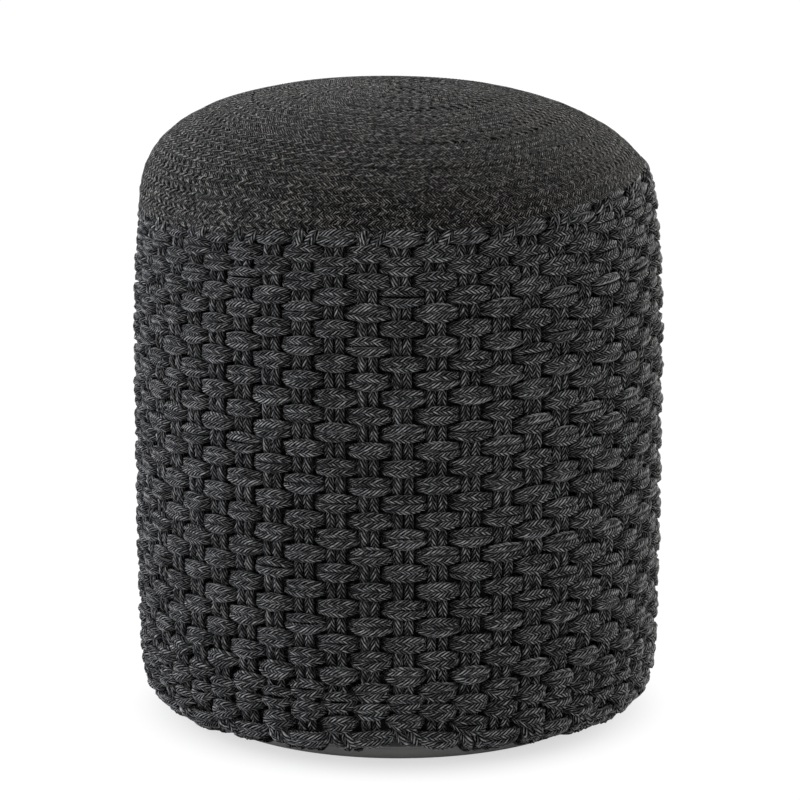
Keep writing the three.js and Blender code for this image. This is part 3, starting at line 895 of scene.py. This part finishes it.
# Row past the hem from which the lower end faces down, and the rows over which it turns
FACE_DOWN = (0.6, 0.6)
# Over a hem a cord starts a little to the left, slants to the right, rises out and gets thicker
SLANT_BACK = 0.0010
SLANT_FROM = 0.6
HEM_RISE = (0.0036, 0.8, 0.6)
THICK_FROM = 0.7
THICK_OVER = 0.5


class Crossing(NamedTuple):
    """How an upright cord lies over a hem: slants in metres, the rest in shares and rows."""

    slant: float
    side_slant: float
    slant_over: float
    spread: float
    spread_from: float
    spread_over: float
    thicker: float


OVER_TOP = Crossing(0.0065, 0.0020, 1.1, 0.10, 0.6, 0.8, 0.10)
OVER_BOTTOM = Crossing(0.0075, 0.0, 1.2, 0.20, 0.7, 0.5, 0.14)


def warp_cord(gather, column, side, cord, weave, rng, offset):
    """One upright cord.

    Its depth swings like the sine of a cosine of the row number, deep behind the floats of its own
    parity. Every second pair lies over the top hem and the others over the bottom hem, where they
    slant to the right. The lower end turns in under the hem."""
    row = np.linspace(WARP_START, LAST_ROW + WARP_BEYOND, WARP_POINTS)
    past = row - LAST_ROW
    rows = np.arange(-2, LAST_ROW + 3)
    heights = np.interp(rows, np.arange(LAST_ROW + 1), ROW_HEIGHTS)
    heights[:2] = ROW_HEIGHTS[0] + (ROW_HEIGHTS[0] - ROW_HEIGHTS[1]) * np.array([2, 1])
    heights[-2:] = ROW_HEIGHTS[-1] - (ROW_HEIGHTS[-2] - ROW_HEIGHTS[-1]) * np.array([1, 2])
    angle = FRONT_PAIR_ANGLE + column * PAIR_ANGLE
    z = sagged(angle, np.maximum(np.interp(row, rows, heights), LOWEST_HEIGHT))
    swing = np.sin(np.pi / 2 * np.cos(np.pi * (row + column)))
    number = np.clip(np.round(row), 0, LAST_ROW).astype(int)
    crest = 1 - ease(np.abs(row - number) / 0.5)
    jitter, radius = weave.unevenness, cord.diameter / 2

    def uneven(share):
        return crest * rng.normal(0, share * jitter, LAST_ROW + 1)[number]

    apart = radius * (WARP_GAP - GAP_SWING * swing) + uneven(WARP_GAP_JITTER)
    depth = weave.warp_depth + weave.warp_swing * swing + uneven(WARP_DEPTH_JITTER)
    drift = slow_wave(rng, row * ROW_WAVE, DRIFT_JITTER * jitter, (1, 2, 3))
    depth = depth + TUCK_IN[0] * ease((TUCK_IN[1] - row) / TUCK_IN[2])
    over_top = column % 2 == 1
    crossing, inside = (OVER_TOP, row) if over_top else (OVER_BOTTOM, -past)
    slant = crossing.slant + crossing.side_slant * side
    slant = slant * np.clip((SLANT_FROM - inside) / crossing.slant_over, 0, 1) - SLANT_BACK
    spread = crossing.spread * ease((crossing.spread_from - inside) / crossing.spread_over)
    apart = apart * (1 + spread)
    depth = depth - HEM_RISE[0] * ease((HEM_RISE[1] - inside) / HEM_RISE[2])
    radius = radius * (1 + crossing.thicker * ease((THICK_FROM - inside) / THICK_OVER))
    depth = depth + TURN_IN[0] * ease((past - TURN_IN[1]) / TURN_IN[2])
    theta = angle + (side * apart + drift + slant) / BELLY_RADIUS
    path = wall_point(theta, z, depth)
    out = wall_point(theta, z, depth - OUT_STEP) - path
    down = ease((past - FACE_DOWN[0]) / FACE_DOWN[1])[:, None]
    out = out * (1 - down) + np.array([0, 0, -OUT_STEP]) * down
    tall, wide = radius * WARP_TALL, radius * (WARP_WIDE - WIDE_SWING * swing)
    roll = slow_wave(rng, row * ROW_WAVE, WARP_ROLL, (1, 2, 3))
    family = int(rng.random() < OUTWARD_TIPS)
    pitch = cord.strand_pitch
    gather.add(path, out, cord, pitch, tall, wide, roll, family, offset, ROUND_BACK, False)


# The crown's cord. Places on it are counted in turns from the middle
CROWN_POINTS = 220
CROWN_START = 0.03
CROWN_BEYOND = 0.35
INNER_TURNS = 0.12
OUTER_TURNS = 0.6
FIRST_ANGLE = 0.9
# Depth and half sizes in cord radii, and the roll of the cord
CROWN_DEPTH = 0.66
CROWN_TALL = 0.62
CROWN_WIDE = 1.36
CROWN_ROLL = 0.25
# Each end dips under its neighbour: metres, turns from the end and turns over which it does
INNER_DIP = (0.004, 0.30, 0.25)
OUTER_DIP = (0.006, 0.05, 0.35)
# Low places: metres, the middle in turns and the half width in turns, and one's angle and its half
# width
FRONT_DENT = (0.0011, 0.77, 0.8)
DENT_ANGLE = (0.12, 0.16)
MIDDLE_DENT = (0.0010, 1.25, 0.35)
# Unevenness in depth and across, in metres
CROWN_HEAVE = 0.0002
CROWN_WANDER = 0.0005


def bell(x, middle, half_width):
    """Bell curve: e to the power of less the square of the way from the middle in half widths."""
    return np.exp(-(((x - middle) / half_width) ** 2))


def crown_cord(gather, cord, weave, rng, offset):
    """The crown's cord: a spiral over the crown with even steps from turn to turn.

    Its inner end dips under the first turn, and its outer end turns in under the crown at the back.
    One turn has a shallow dent at the front, and the first turns have one beside the middle."""
    turns = weave.turns
    way = np.linspace(CROWN_START, turns + CROWN_BEYOND, int(turns * CROWN_POINTS))
    share = np.clip((way + INNER_TURNS) / (turns + OUTER_TURNS), 0, 1)
    theta = way * TAU - FIRST_ANGLE
    radius = cord.diameter / 2
    depth = np.full(len(way), CROWN_DEPTH * radius)
    inner = INNER_DIP[0] * ease((INNER_DIP[1] - way) / INNER_DIP[2])
    depth += inner + OUTER_DIP[0] * ease((way - turns + OUTER_DIP[1]) / OUTER_DIP[2])
    front = np.angle(np.exp(1j * (theta - DENT_ANGLE[0])))
    dent_turn = turns * FRONT_DENT[1]
    depth += FRONT_DENT[0] * bell(front, 0, DENT_ANGLE[1]) * bell(way, dent_turn, FRONT_DENT[2])
    depth += MIDDLE_DENT[0] * bell(way, *MIDDLE_DENT[1:])
    depth = depth + slow_wave(rng, way, CROWN_HEAVE, (1.3, 2.7, 4.1, 7.3))
    wander = slow_wave(rng, way, CROWN_WANDER, (0.9, 2.3, 3.7, 6.1))
    share = np.clip(share + wander / CROWN_LENGTH, 0, 1)
    path = crown_point(theta, share, depth)
    out = crown_point(theta, share, depth - OUT_STEP) - path
    tall, wide = np.full(len(way), CROWN_TALL * radius), np.full(len(way), CROWN_WIDE * radius)
    roll = slow_wave(rng, way, CROWN_ROLL, (0.7, 1.9, 3.3))
    pitch = cord.strand_pitch * cord.crown_stretch
    gather.add(path, out, cord, pitch, tall, wide, roll, 1, offset, FLAT_BACK, False)


# Operators


# Seeds of the random numbers, and upright pairs to a piece. Each cord counts its strands from an
# offset of its own, so that no two cords have the same ones
WEFT_SEED = 100
WARP_SEED = 300
CROWN_SEED = 500
PIECE_COLUMNS = 10


def shared_material(name, maker, *colours, **settings):
    """The named material, made once."""
    return bpy.data.materials.get(name) or maker(name, *colours, **settings)


def wall_cloth(colours):
    return shared_material(
        "Braided polyester cord", braid_material,
        colours.yarn_dark, colours.yarn_middle, colours.yarn_light,
        patch_size=0.016, patch_tone=0.16, wander=0.2, yarns=1.0, narrow=1.5,
    )


def settle(piece, slot, *nodes, body="ottoman"):
    """The piece stands for its CAD nodes and rides on its body; the slot is not used."""
    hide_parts(*nodes)
    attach(piece, body)
    return piece


class FOOTSTOOL_OT_weft(bpy.types.Operator):
    """Weaves the weft rows and both hems: two cords a row, over and under the upright pairs."""

    bl_idname = "footstool.weft"
    bl_label = "Weft rows"

    def execute(self, context):
        scene = context.scene
        cord, weave = scene.footstool_cord, scene.footstool_weave
        cloth = wall_cloth(scene.footstool_colours)
        for row, node in enumerate(ROW_NODES):
            rng = np.random.default_rng(WEFT_SEED + row)
            gather = Cords()
            for side in (1, -1):
                offset = 1000 * row + 500 * side
                weft_cord(gather, row, side, cord, weave, rng, offset)
            slot = "hem_cord" if node.endswith("hem") else "wall_cord"
            settle(mark_recess(gather.piece("cords_" + node, cloth)), slot, node)
        return {"FINISHED"}


class FOOTSTOOL_OT_warp(bpy.types.Operator):
    """Weaves the upright pairs, ten columns to a piece."""

    bl_idname = "footstool.warp"
    bl_label = "Upright cords"

    def execute(self, context):
        scene = context.scene
        cord, weave = scene.footstool_cord, scene.footstool_weave
        cloth = wall_cloth(scene.footstool_colours)
        for first in range(0, WARP_PAIRS, PIECE_COLUMNS):
            rng = np.random.default_rng(WARP_SEED + first)
            gather = Cords()
            for column in range(first, first + PIECE_COLUMNS):
                for side in (-1, 1):
                    offset = 40000 + 400 * column + 200 * side
                    warp_cord(gather, column, side, cord, weave, rng, offset)
            name = f"upright_cords_{first // PIECE_COLUMNS + 1}"
            settle(mark_recess(gather.piece(name, cloth)), "wall_cord", "warp_cords")
        return {"FINISHED"}


class FOOTSTOOL_OT_crown(bpy.types.Operator):
    """Coils the crown's cord."""

    bl_idname = "footstool.crown"
    bl_label = "Crown"

    def execute(self, context):
        scene = context.scene
        gather = Cords()
        rng = np.random.default_rng(CROWN_SEED)
        crown_cord(gather, scene.footstool_cord, scene.footstool_weave, rng, 80000)
        colours = scene.footstool_colours
        cloth = shared_material(
            "Braided polyester crown cord", braid_material,
            colours.crown_dark, colours.crown_middle, colours.crown_light,
            patch_size=0.0017, patch_tone=0.6, wander=0.8, yarns=1.4, narrow=2.3,
        )
        settle(gather.piece("crown_cord", cloth), "crown_cord", "crown_coil")
        return {"FINISHED"}


# Liner, in metres: depth under the skin of its side and top, thickness, the side's upper and lower
# ends, and how high its bottom lies over the wall's foot
LINER_DEPTH = 0.0148
LINER_TOP_DEPTH = 0.0085
LINER_THICKNESS = 0.0008
LINER_SIDE_TOP = 0.378
LINER_SIDE_LIFT = 0.0005
LINER_BOTTOM_LIFT = 0.0002
# Filling: its gap to the liner's side, its lift over the wall's foot, its shoulder and its top's
# depth
FILLING_GAP = 0.0012
FILLING_LIFT = 0.002
FILLING_SHOULDER = 0.374
FILLING_TOP_DEPTH = 0.0099
FILLING_STEP = 0.0004
# Inside the drum the dome is even: power of its outline and the angle where it starts
EVEN_POWER = 2.2
EVEN_START = 0.12
LINE_POINTS = 40
DISC_RINGS = 12
SEGMENTS = 128
BOTTOM_SEGMENTS = 96


def upright_line(depth, low, high):
    """Radius and height of the wall's skin at a depth, for an even drum."""
    z = np.linspace(low, high, LINE_POINTS)
    return np.stack([wall_radius(z) - depth, z], -1)


def dome_line(depth):
    """Radius and height of the crown's skin at a depth, from the rim to the middle, for an even
    drum.

    They are powers of the cosine and the sine of an angle that runs up to a quarter turn."""
    t = np.linspace(EVEN_START, np.pi / 2, LINE_POINTS)
    r = (wall_radius(np.float64(SHOULDER)) - depth) * np.maximum(np.cos(t), 0) ** (2 / EVEN_POWER)
    z = SHOULDER + (DOME_TOP - SHOULDER - depth) * np.sin(t) ** (2 / EVEN_POWER)
    r[-1] = 0.0
    return np.stack([r, z], -1)


class FOOTSTOOL_OT_liner(bpy.types.Operator):
    """Sews the liner bag: a top, a side and a bottom panel of woven cloth."""

    bl_idname = "footstool.liner"
    bl_label = "Liner"

    def execute(self, context):
        colours = context.scene.footstool_colours
        cloth = shared_material(
            "Woven polyester lining", woven_material, colours.liner_dark, colours.liner_light,
            thread=0.0012, roughness=0.8,
        )
        out = upright_line(LINER_DEPTH, WALL_BOTTOM + LINER_SIDE_LIFT, LINER_SIDE_TOP)
        outline = np.vstack([out, out[::-1] - [LINER_THICKNESS, 0]])
        side = lathe("liner_side_panel", outline, SEGMENTS, cloth)
        settle(side, "liner_cloth", "liner_side")
        inner, outer = dome_line(LINER_TOP_DEPTH + LINER_THICKNESS), dome_line(LINER_TOP_DEPTH)
        top = lathe("liner_top_panel", np.vstack([inner[::-1], outer]), SEGMENTS, cloth)
        settle(top, "liner_cloth", "liner_top")
        radius = wall_radius(np.float64(WALL_BOTTOM)) - LINER_DEPTH + LINER_THICKNESS / 2
        low = WALL_BOTTOM + LINER_BOTTOM_LIFT
        rings = np.linspace(0, radius, DISC_RINGS)
        under = np.stack([rings, np.full(DISC_RINGS, low)], -1)
        over = np.stack([rings[::-1], np.full(DISC_RINGS, low + LINER_THICKNESS)], -1)
        bottom = lathe("liner_bottom_panel", np.vstack([under, over]), BOTTOM_SEGMENTS, cloth)
        settle(bottom, "liner_cloth", "liner_bottom")
        return {"FINISHED"}


class FOOTSTOOL_OT_filling(bpy.types.Operator):
    """Fills the liner with beads: one crowned body with a beaded face."""

    bl_idname = "footstool.filling"
    bl_label = "Filling"

    def execute(self, context):
        colours = context.scene.footstool_colours
        beads = shared_material(
            "Expanded polystyrene beads", beads_material, colours.bead_dark, colours.bead_light,
            bead=0.004,
        )
        low = WALL_BOTTOM + FILLING_LIFT
        side = upright_line(LINER_DEPTH + FILLING_GAP, low, FILLING_SHOULDER)
        dome = dome_line(FILLING_TOP_DEPTH)
        dome = dome[dome[:, 0] < side[-1, 0] - FILLING_STEP]
        filling = lathe("filling_beads", np.vstack([[0, low], side, dome]), SEGMENTS, beads)
        settle(filling, "filling_beads", "filling")
        return {"FINISHED"}


# Base panel, in metres: how far its side stands in, its roundings at foot and top, and its lip,
# which is a band, a step and a gap high
BASE_INSET = 0.006
BASE_FOOT = 0.008
BASE_EDGE = 0.003
BASE_LIP = 0.0004
LIP_BAND = 0.0008
LIP_STEP = 0.0013
LIP_GAP = 0.0004
BASE_SEGMENTS = 192
SLOT_HALF = 0.100
SLOT_HALF_WIDTH = 0.007
FIT_GAP = 0.0003
SHARP_ANGLE = math.radians(30)


def cut(piece, tools):
    """Cuts each tool's solid out of the piece, removes the tools and keeps the cut's edges
    sharp."""
    for tool in tools:
        modifier = piece.modifiers.new("cut", "BOOLEAN")
        modifier.operation = "DIFFERENCE"
        modifier.solver = "EXACT"
        modifier.object = tool
    graph = bpy.context.evaluated_depsgraph_get()
    graph.update()
    before, mesh = piece.data, bpy.data.meshes.new_from_object(piece.evaluated_get(graph))
    mesh.set_sharp_from_angle(angle=SHARP_ANGLE)
    piece.modifiers.clear()
    piece.data = mesh
    bpy.data.meshes.remove(before)
    for tool in tools:
        bpy.data.meshes.remove(tool.data)


class FOOTSTOOL_OT_base(bpy.types.Operator):
    """Makes the base panel, with a fine lip round its foot and the slot and recess for its zip."""

    bl_idname = "footstool.base"
    bl_label = "Base panel"

    def execute(self, context):
        colours = context.scene.footstool_colours
        sheet = shared_material(
            "Moulded polypropylene", grained_material, colours.base_dark, colours.base_light,
            grain=0.0006, roughness=0.5,
        )
        low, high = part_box("base_panel")
        thickness, radius = high.z, high.x - BASE_INSET
        turn = np.linspace(0, np.pi / 2, 9)
        sine, cosine = np.sin(turn), np.cos(turn)
        foot = np.stack([radius - BASE_FOOT * (1 - sine), BASE_FOOT * (1 - cosine)], -1)
        top = np.stack([radius - BASE_EDGE * (1 - cosine), thickness - BASE_EDGE * (1 - sine)], -1)
        lip = [[radius, foot[-1, 1] + LIP_BAND], [radius - BASE_LIP, foot[-1, 1] + LIP_STEP]]
        top = np.vstack([[top[0, 0] - BASE_LIP, lip[-1][1] + LIP_GAP], top - [BASE_LIP, 0]])
        outline = np.vstack([[0, 0], foot, lip, top, [0, thickness]])
        base = lathe("base_sheet", outline, BASE_SEGMENTS, sheet)
        front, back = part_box("zip_tape_front"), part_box("zip_tape_back")
        middle = (front[0].y + back[1].y) / 2
        slot = (middle - SLOT_HALF_WIDTH, middle + SLOT_HALF_WIDTH, -thickness)
        recess = (front[0].y - FIT_GAP, back[1].y + FIT_GAP, front[0].z - FIT_GAP)
        tools = []
        for name, (near, far, floor) in (("slot_tool", slot), ("recess_tool", recess)):
            corners = (-SLOT_HALF, near, floor), (SLOT_HALF, far, 2 * thickness)
            tool = block(*corners, flat=0.01, plan=0.1, segments=32)
            tools.append(blocks_piece(name, [tool], sheet))
        cut(base, tools)
        settle(base, "base_sheet", "base_panel")
        return {"FINISHED"}


# Zip, in metres or shares of a piece: teeth and the bead that they stand on
TOOTH_PITCH = 0.0025
TOOTH_SHARE = 0.62
BEAD_RISE = 0.3
# End stops: how far the crimped body and the narrow waist stand back
STOP_CRIMP = 0.25
STOP_WAIST = 0.3
# Slider and pull
PLATE = 0.001
PLATE_TAPER = -0.12
POST_HALF = 0.0003
PIN_RADIUS = 0.0006
EYE_HALF = 0.0015
CHEEK = 0.0009
CHEEK_HALF = 0.0016
NECK_LENGTH = 0.0045
NECK_OVERLAP = 0.002
EYE_OVERLAP = 0.0009
OVAL_INSET = 0.003
OVAL_SIDE_INSET = 0.0015
OVAL_NECK_INSET = 0.006
OVAL_RISE = 0.0002
EYE_SEGMENTS = 32
FINE = {"rings": 8, "segments": 32}


def teeth_row(name, node, phase, material):
    """A row of moulded teeth on a thin bead along the tape's edge, each tooth a small rounded
    block."""
    low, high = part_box(node)
    count = int((high.x - low.x) / TOOTH_PITCH) - 1
    rise = BEAD_RISE * (high.z - low.z)
    parts = [block((low.x, low.y, low.z + rise), (high.x, high.y, high.z - rise), segments=16)]
    for number in range(count):
        start = low.x + (number + phase) * TOOTH_PITCH
        end = start + TOOTH_SHARE * TOOTH_PITCH
        parts.append(block((start, low.y, low.z), (end, high.y, high.z)))
    return blocks_piece(name, parts, material)


def zip_slider(metal):
    """Slider: two plates that narrow towards the open end, a post between them, two cheeks and a
    pin."""
    low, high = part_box("zip_slider")
    x, y, _ = (low + high) / 2
    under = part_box("zip_teeth_front")[0].z - FIT_GAP
    pull_low, pull_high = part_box("zip_pull")
    pin = (pull_low.z + pull_high.z) / 2
    quarter = (high.x - low.x) / 4
    reach = EYE_HALF + FIT_GAP + CHEEK
    parts = [
        block((low.x, low.y, bottom), (high.x, high.y, top), taper=PLATE_TAPER, plan=0.45, **FINE)
        for bottom, top in ((under - PLATE, under), (high.z - PLATE, high.z))
    ]
    post = (x - quarter, y - POST_HALF, under - PLATE), (x + quarter, y + POST_HALF, high.z)
    parts.append(block(*post, **FINE))
    size = PIN_RADIUS
    rod = (x - size, y - reach, pin - size), (x + size, y + reach, pin + size)
    parts.append(block(*rod, flat=0.2, plan=1.0, axis=1, **FINE))
    for side in (-1, 1):
        inner, outer = sorted((side * (EYE_HALF + FIT_GAP), side * reach))
        cheek = (x - CHEEK_HALF, y + inner, low.z), (x + CHEEK_HALF, y + outer, under - PLATE / 2)
        parts.append(block(*cheek, plan=0.6, axis=1, **FINE))
    return blocks_piece("slider", parts, metal)


def zip_pull(metal):
    """Pull: a flat tab with a raised oval on it, a neck and a round eye on the slider's pin.

    The eye is four circles, outer and inner on both faces, joined to a ring."""
    low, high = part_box("zip_pull")
    _, y, z = (low + high) / 2
    bottom, top = z - PLATE / 2, z + PLATE / 2
    outer, inner = (high.z - low.z) / 2, PIN_RADIUS + FIT_GAP
    pin = high.x - outer
    neck = pin - NECK_LENGTH
    parts = [block((low.x, low.y, bottom), (neck, high.y, top), plan=0.5, **FINE)]
    oval_low = low.x + OVAL_INSET, low.y + OVAL_SIDE_INSET, bottom - OVAL_RISE
    oval_high = neck - OVAL_NECK_INSET, high.y - OVAL_SIDE_INSET, top + OVAL_RISE
    parts.append(block(oval_low, oval_high, plan=1.0, **FINE))
    stem = (neck - NECK_OVERLAP, y - EYE_HALF, bottom), (pin - EYE_OVERLAP, y + EYE_HALF, top)
    parts.append(block(*stem, plan=0.2, **FINE))
    turn = np.arange(EYE_SEGMENTS) / EYE_SEGMENTS * TAU
    near, far = y - EYE_HALF, y + EYE_HALF
    eye = [
        np.stack([pin + size * np.cos(turn), face + 0 * turn, z + size * np.sin(turn)], -1)
        for size, face in ((outer, near), (outer, far), (inner, far), (inner, near))
    ]
    i, j = grid(len(eye), EYE_SEGMENTS, True, True)
    loops = ((i % len(eye)) * EYE_SEGMENTS + j % EYE_SEGMENTS).ravel()
    parts.append((np.vstack(eye), loops, np.full(len(i), 4)))
    return blocks_piece("pull", parts, metal)


class FOOTSTOOL_OT_zip(bpy.types.Operator):
    """Makes the zip in the base panel: tapes, teeth, end stops, slider and pull."""

    bl_idname = "footstool.zip"
    bl_label = "Zip"

    def execute(self, context):
        colours = context.scene.footstool_colours
        metal = shared_material(
            "Cast zinc, black nickel plated", grained_material,
            colours.metal_dark, colours.metal_light, grain=0.0004, roughness=0.34, metallic=1.0,
        )
        plastic = shared_material(
            "Moulded acetal", grained_material, colours.teeth_dark, colours.teeth_light,
            grain=0.0004, roughness=0.4,
        )
        tape = shared_material(
            "Woven zip tape", woven_material, colours.tape_dark, colours.tape_light,
            thread=0.0006, roughness=0.8,
        )
        for side in ("front", "back"):
            low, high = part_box("zip_tape_" + side)
            strip = block(low, high, flat=0.3, plan=0.04, rings=6, segments=64)
            settle(blocks_piece("tape_" + side, [strip], tape), "zip_cloth", "zip_tape_" + side)
            row = teeth_row("teeth_" + side, "zip_teeth_" + side, 0.5 * (side == "back"), plastic)
            settle(row, "zip_plastic", "zip_teeth_" + side)
        for end in ("closed_end", "open_end"):
            low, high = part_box("zip_stop_" + end)
            crimp = Vector((0, 0, STOP_CRIMP * (high.z - low.z)))
            waist = Vector((STOP_WAIST * (high.x - low.x), 0, 0))
            parts = [block(low + b, high - b, rings=6, segments=24) for b in (crimp, waist)]
            settle(blocks_piece("stop_" + end, parts, metal), "zip_metal", "zip_stop_" + end)
        settle(zip_slider(metal), "zip_metal", "zip_slider", body="slider")
        settle(zip_pull(metal), "zip_metal", "zip_pull", body="pull")
        return {"FINISHED"}


# Lamps: name, place, the point that it looks at, size, power and colour
LAMPS = (
    ("lamp_top", (0.0, 1.7, 2.0), (0.0, 0.0, 0.3), 1.4, 10.0, (1.0, 1.0, 1.0)),
    ("lamp_left", (-2.2, 0.4, 0.8), (0.0, 0.0, 0.25), 1.4, 29.0, (0.90, 0.94, 1.0)),
    ("lamp_right", (2.0, 2.0, 0.7), (0.0, 0.0, 0.25), 1.4, 26.0, (1.0, 0.98, 0.91)),
    ("lamp_front", (-1.0, -2.5, 1.8), (0.0, 0.0, 0.25), 1.2, 8.5, (1.0, 1.0, 1.0)),
)
WORLD_LIGHT = 0.42
# Floor, in metres: size, opening under the base, and how far the shadow at the foot reaches. Then
# the glow's share for the camera at the opening and past the shadow, and its strength
FLOOR_SIZE = 12.0
FLOOR_OPENING = 0.138
SHADOW_REACH = 0.21
GLOW_NEAR = 0.60
GLOW_FAR = 0.97
GLOW_STRENGTH = 1.04
FLOOR_SEGMENTS = 64
# Camera: frame in pixels, pixels to a metre at the axis, the axis' column, and distance, angle and
# height
FRAME = 800.0
PIXELS_PER_METRE = 1385.0
AXIS_COLUMN = 397.2
CAMERA_DISTANCE = 2.8
CAMERA_RISE = math.radians(12.5)
CAMERA_TARGET = (0.0, 0.0, 0.225)
SENSOR = 36.0


def look_at(place, target):
    """Turn that points an object's -Z from place to target with +Y up."""
    return (Vector(target) - Vector(place)).to_track_quat("-Z", "Y").to_euler()


def make_lamp(name, place, target, size, power, colour):
    light = bpy.data.lights.new(name, "AREA")
    light.shape = "DISK"
    light.size = size
    light.energy = power
    light.color = colour
    lamp = bpy.data.objects.new(name, light)
    lamp.location = place
    lamp.rotation_euler = look_at(place, target)
    bpy.context.scene.collection.objects.link(lamp)
    return lamp


def make_world(scene):
    """Even white light, and pure white where the camera or a reflection looks past the floor."""
    world = bpy.data.worlds.new("White studio")
    world.use_nodes = True
    world.node_tree.nodes.clear()
    path = add_node(world, "ShaderNodeLightPath")
    camera, through, glossy = (
        path.outputs[f"Is {ray} Ray"] for ray in ("Camera", "Transmission", "Glossy")
    )
    straight = add_node(world, MATH, {0: camera, 1: through}, operation="MAXIMUM")
    seen = add_node(world, MATH, {0: straight, 1: glossy}, operation="MAXIMUM")
    strength = add_node(world, MAP_RANGE, {"Value": seen, "To Min": WORLD_LIGHT, "To Max": 1.0})
    light = add_node(world, "ShaderNodeBackground", {"Color": (1, 1, 1, 1), "Strength": strength})
    add_node(world, "ShaderNodeOutputWorld", {"Surface": light})
    scene.world = world


def make_floor():
    """Pale floor with an opening under the base, clear when seen from below.

    For the camera it glows: more than half its tone close to the base and nearly all of it further
    out, so it ends in plain white and keeps a soft contact shadow."""
    turn = np.arange(FLOOR_SEGMENTS) / FLOOR_SEGMENTS * TAU
    circle = np.stack([np.cos(turn), np.sin(turn), 0 * turn], -1)
    i, j = grid(2, len(turn), False, True)
    loops = (i * len(turn) + j % len(turn))[:, ::-1]
    floor = make_piece(
        "floor", np.vstack([FLOOR_OPENING * circle, FLOOR_SIZE * circle]), loops.ravel(),
        np.full(len(loops), 4), smooth=False,
    )
    m = new_material("White studio floor")
    path = add_node(m, "ShaderNodeLightPath")
    where = add_node(m, "ShaderNodeTexCoord").outputs["Object"]
    away = add_node(m, "ShaderNodeVectorMath", {0: where}, operation="LENGTH").outputs["Value"]
    ends = {
        "From Min": FLOOR_OPENING, "From Max": SHADOW_REACH, "To Min": GLOW_NEAR, "To Max": GLOW_FAR
    }
    glow_share = add_node(m, MAP_RANGE, {"Value": away, **ends}, interpolation_type="SMOOTHSTEP")
    camera = path.outputs["Is Camera Ray"]
    share = add_node(m, MATH, {0: camera, 1: glow_share}, operation="MULTIPLY")
    plain = add_node(m, "ShaderNodeBsdfDiffuse", {"Color": linear("#f4f4f4")})
    glow = add_node(m, "ShaderNodeEmission", {"Color": (1, 1, 1, 1), "Strength": GLOW_STRENGTH})
    both = add_node(m, "ShaderNodeMixShader", {0: share, 1: plain, 2: glow})
    clear = add_node(m, "ShaderNodeBsdfTransparent")
    below = add_node(m, "ShaderNodeNewGeometry").outputs["Backfacing"]
    shader = add_node(m, "ShaderNodeMixShader", {0: below, 1: both, 2: clear})
    floor.data.materials.append(finish_material(m, shader))


def make_camera(scene):
    """Camera a little above the horizon, that looks at a point near the middle of the drum's axis.

    The focal length is the sensor's width times the distance over the width that the frame shows
    there."""
    camera = bpy.data.cameras.new("camera")
    camera.sensor_fit = "HORIZONTAL"
    camera.sensor_width = SENSOR
    camera.lens = SENSOR * PIXELS_PER_METRE * CAMERA_DISTANCE / FRAME
    camera.shift_x = (FRAME / 2 - AXIS_COLUMN) / FRAME
    camera.clip_end = 50.0
    eye = bpy.data.objects.new("camera", camera)
    rise = CAMERA_TARGET[2] + CAMERA_DISTANCE * math.sin(CAMERA_RISE)
    eye.location = (0.0, -CAMERA_DISTANCE * math.cos(CAMERA_RISE), rise)
    eye.rotation_euler = look_at(eye.location, CAMERA_TARGET)
    scene.collection.objects.link(eye)
    scene.camera = eye


class FOOTSTOOL_OT_stage(bpy.types.Operator):
    """Sets up the floor, the lamps and the camera."""

    bl_idname = "footstool.stage"
    bl_label = "Stage"

    def execute(self, context):
        scene = context.scene
        make_floor()
        make_world(scene)
        for lamp in LAMPS:
            make_lamp(*lamp)
        make_camera(scene)
        scene.view_settings.view_transform = "Standard"
        return {"FINISHED"}


STEPS = (
    FOOTSTOOL_OT_weft,
    FOOTSTOOL_OT_warp,
    FOOTSTOOL_OT_crown,
    FOOTSTOOL_OT_liner,
    FOOTSTOOL_OT_filling,
    FOOTSTOOL_OT_base,
    FOOTSTOOL_OT_zip,
    FOOTSTOOL_OT_stage,
)


class FOOTSTOOL_PT_panel(bpy.types.Panel):
    """Lists the footstool's sizes, colours and building steps."""

    bl_idname = "FOOTSTOOL_PT_panel"
    bl_label = "Woven footstool"
    bl_space_type = "VIEW_3D"
    bl_region_type = "UI"
    bl_category = "Footstool"

    def draw(self, context):
        scene = context.scene
        for group in (scene.footstool_cord, scene.footstool_weave, scene.footstool_colours):
            box = self.layout.box()
            for name in group.__annotations__:
                box.prop(group, name)
        for step in STEPS:
            self.layout.operator(step.bl_idname)


CLASSES = (FootstoolCord, FootstoolWeave, FootstoolColours, *STEPS, FOOTSTOOL_PT_panel)


def register():
    for kind in CLASSES:
        bpy.utils.register_class(kind)
    bpy.types.Scene.footstool_cord = PointerProperty(type=FootstoolCord)
    bpy.types.Scene.footstool_weave = PointerProperty(type=FootstoolWeave)
    bpy.types.Scene.footstool_colours = PointerProperty(type=FootstoolColours)


def unregister():
    del bpy.types.Scene.footstool_cord
    del bpy.types.Scene.footstool_weave
    del bpy.types.Scene.footstool_colours
    for kind in reversed(CLASSES):
        bpy.utils.unregister_class(kind)


def main():
    register()
    for step in STEPS:
        group, name = step.bl_idname.split(".")
        getattr(getattr(bpy.ops, group), name)()


if __name__ == "__main__":
    main()
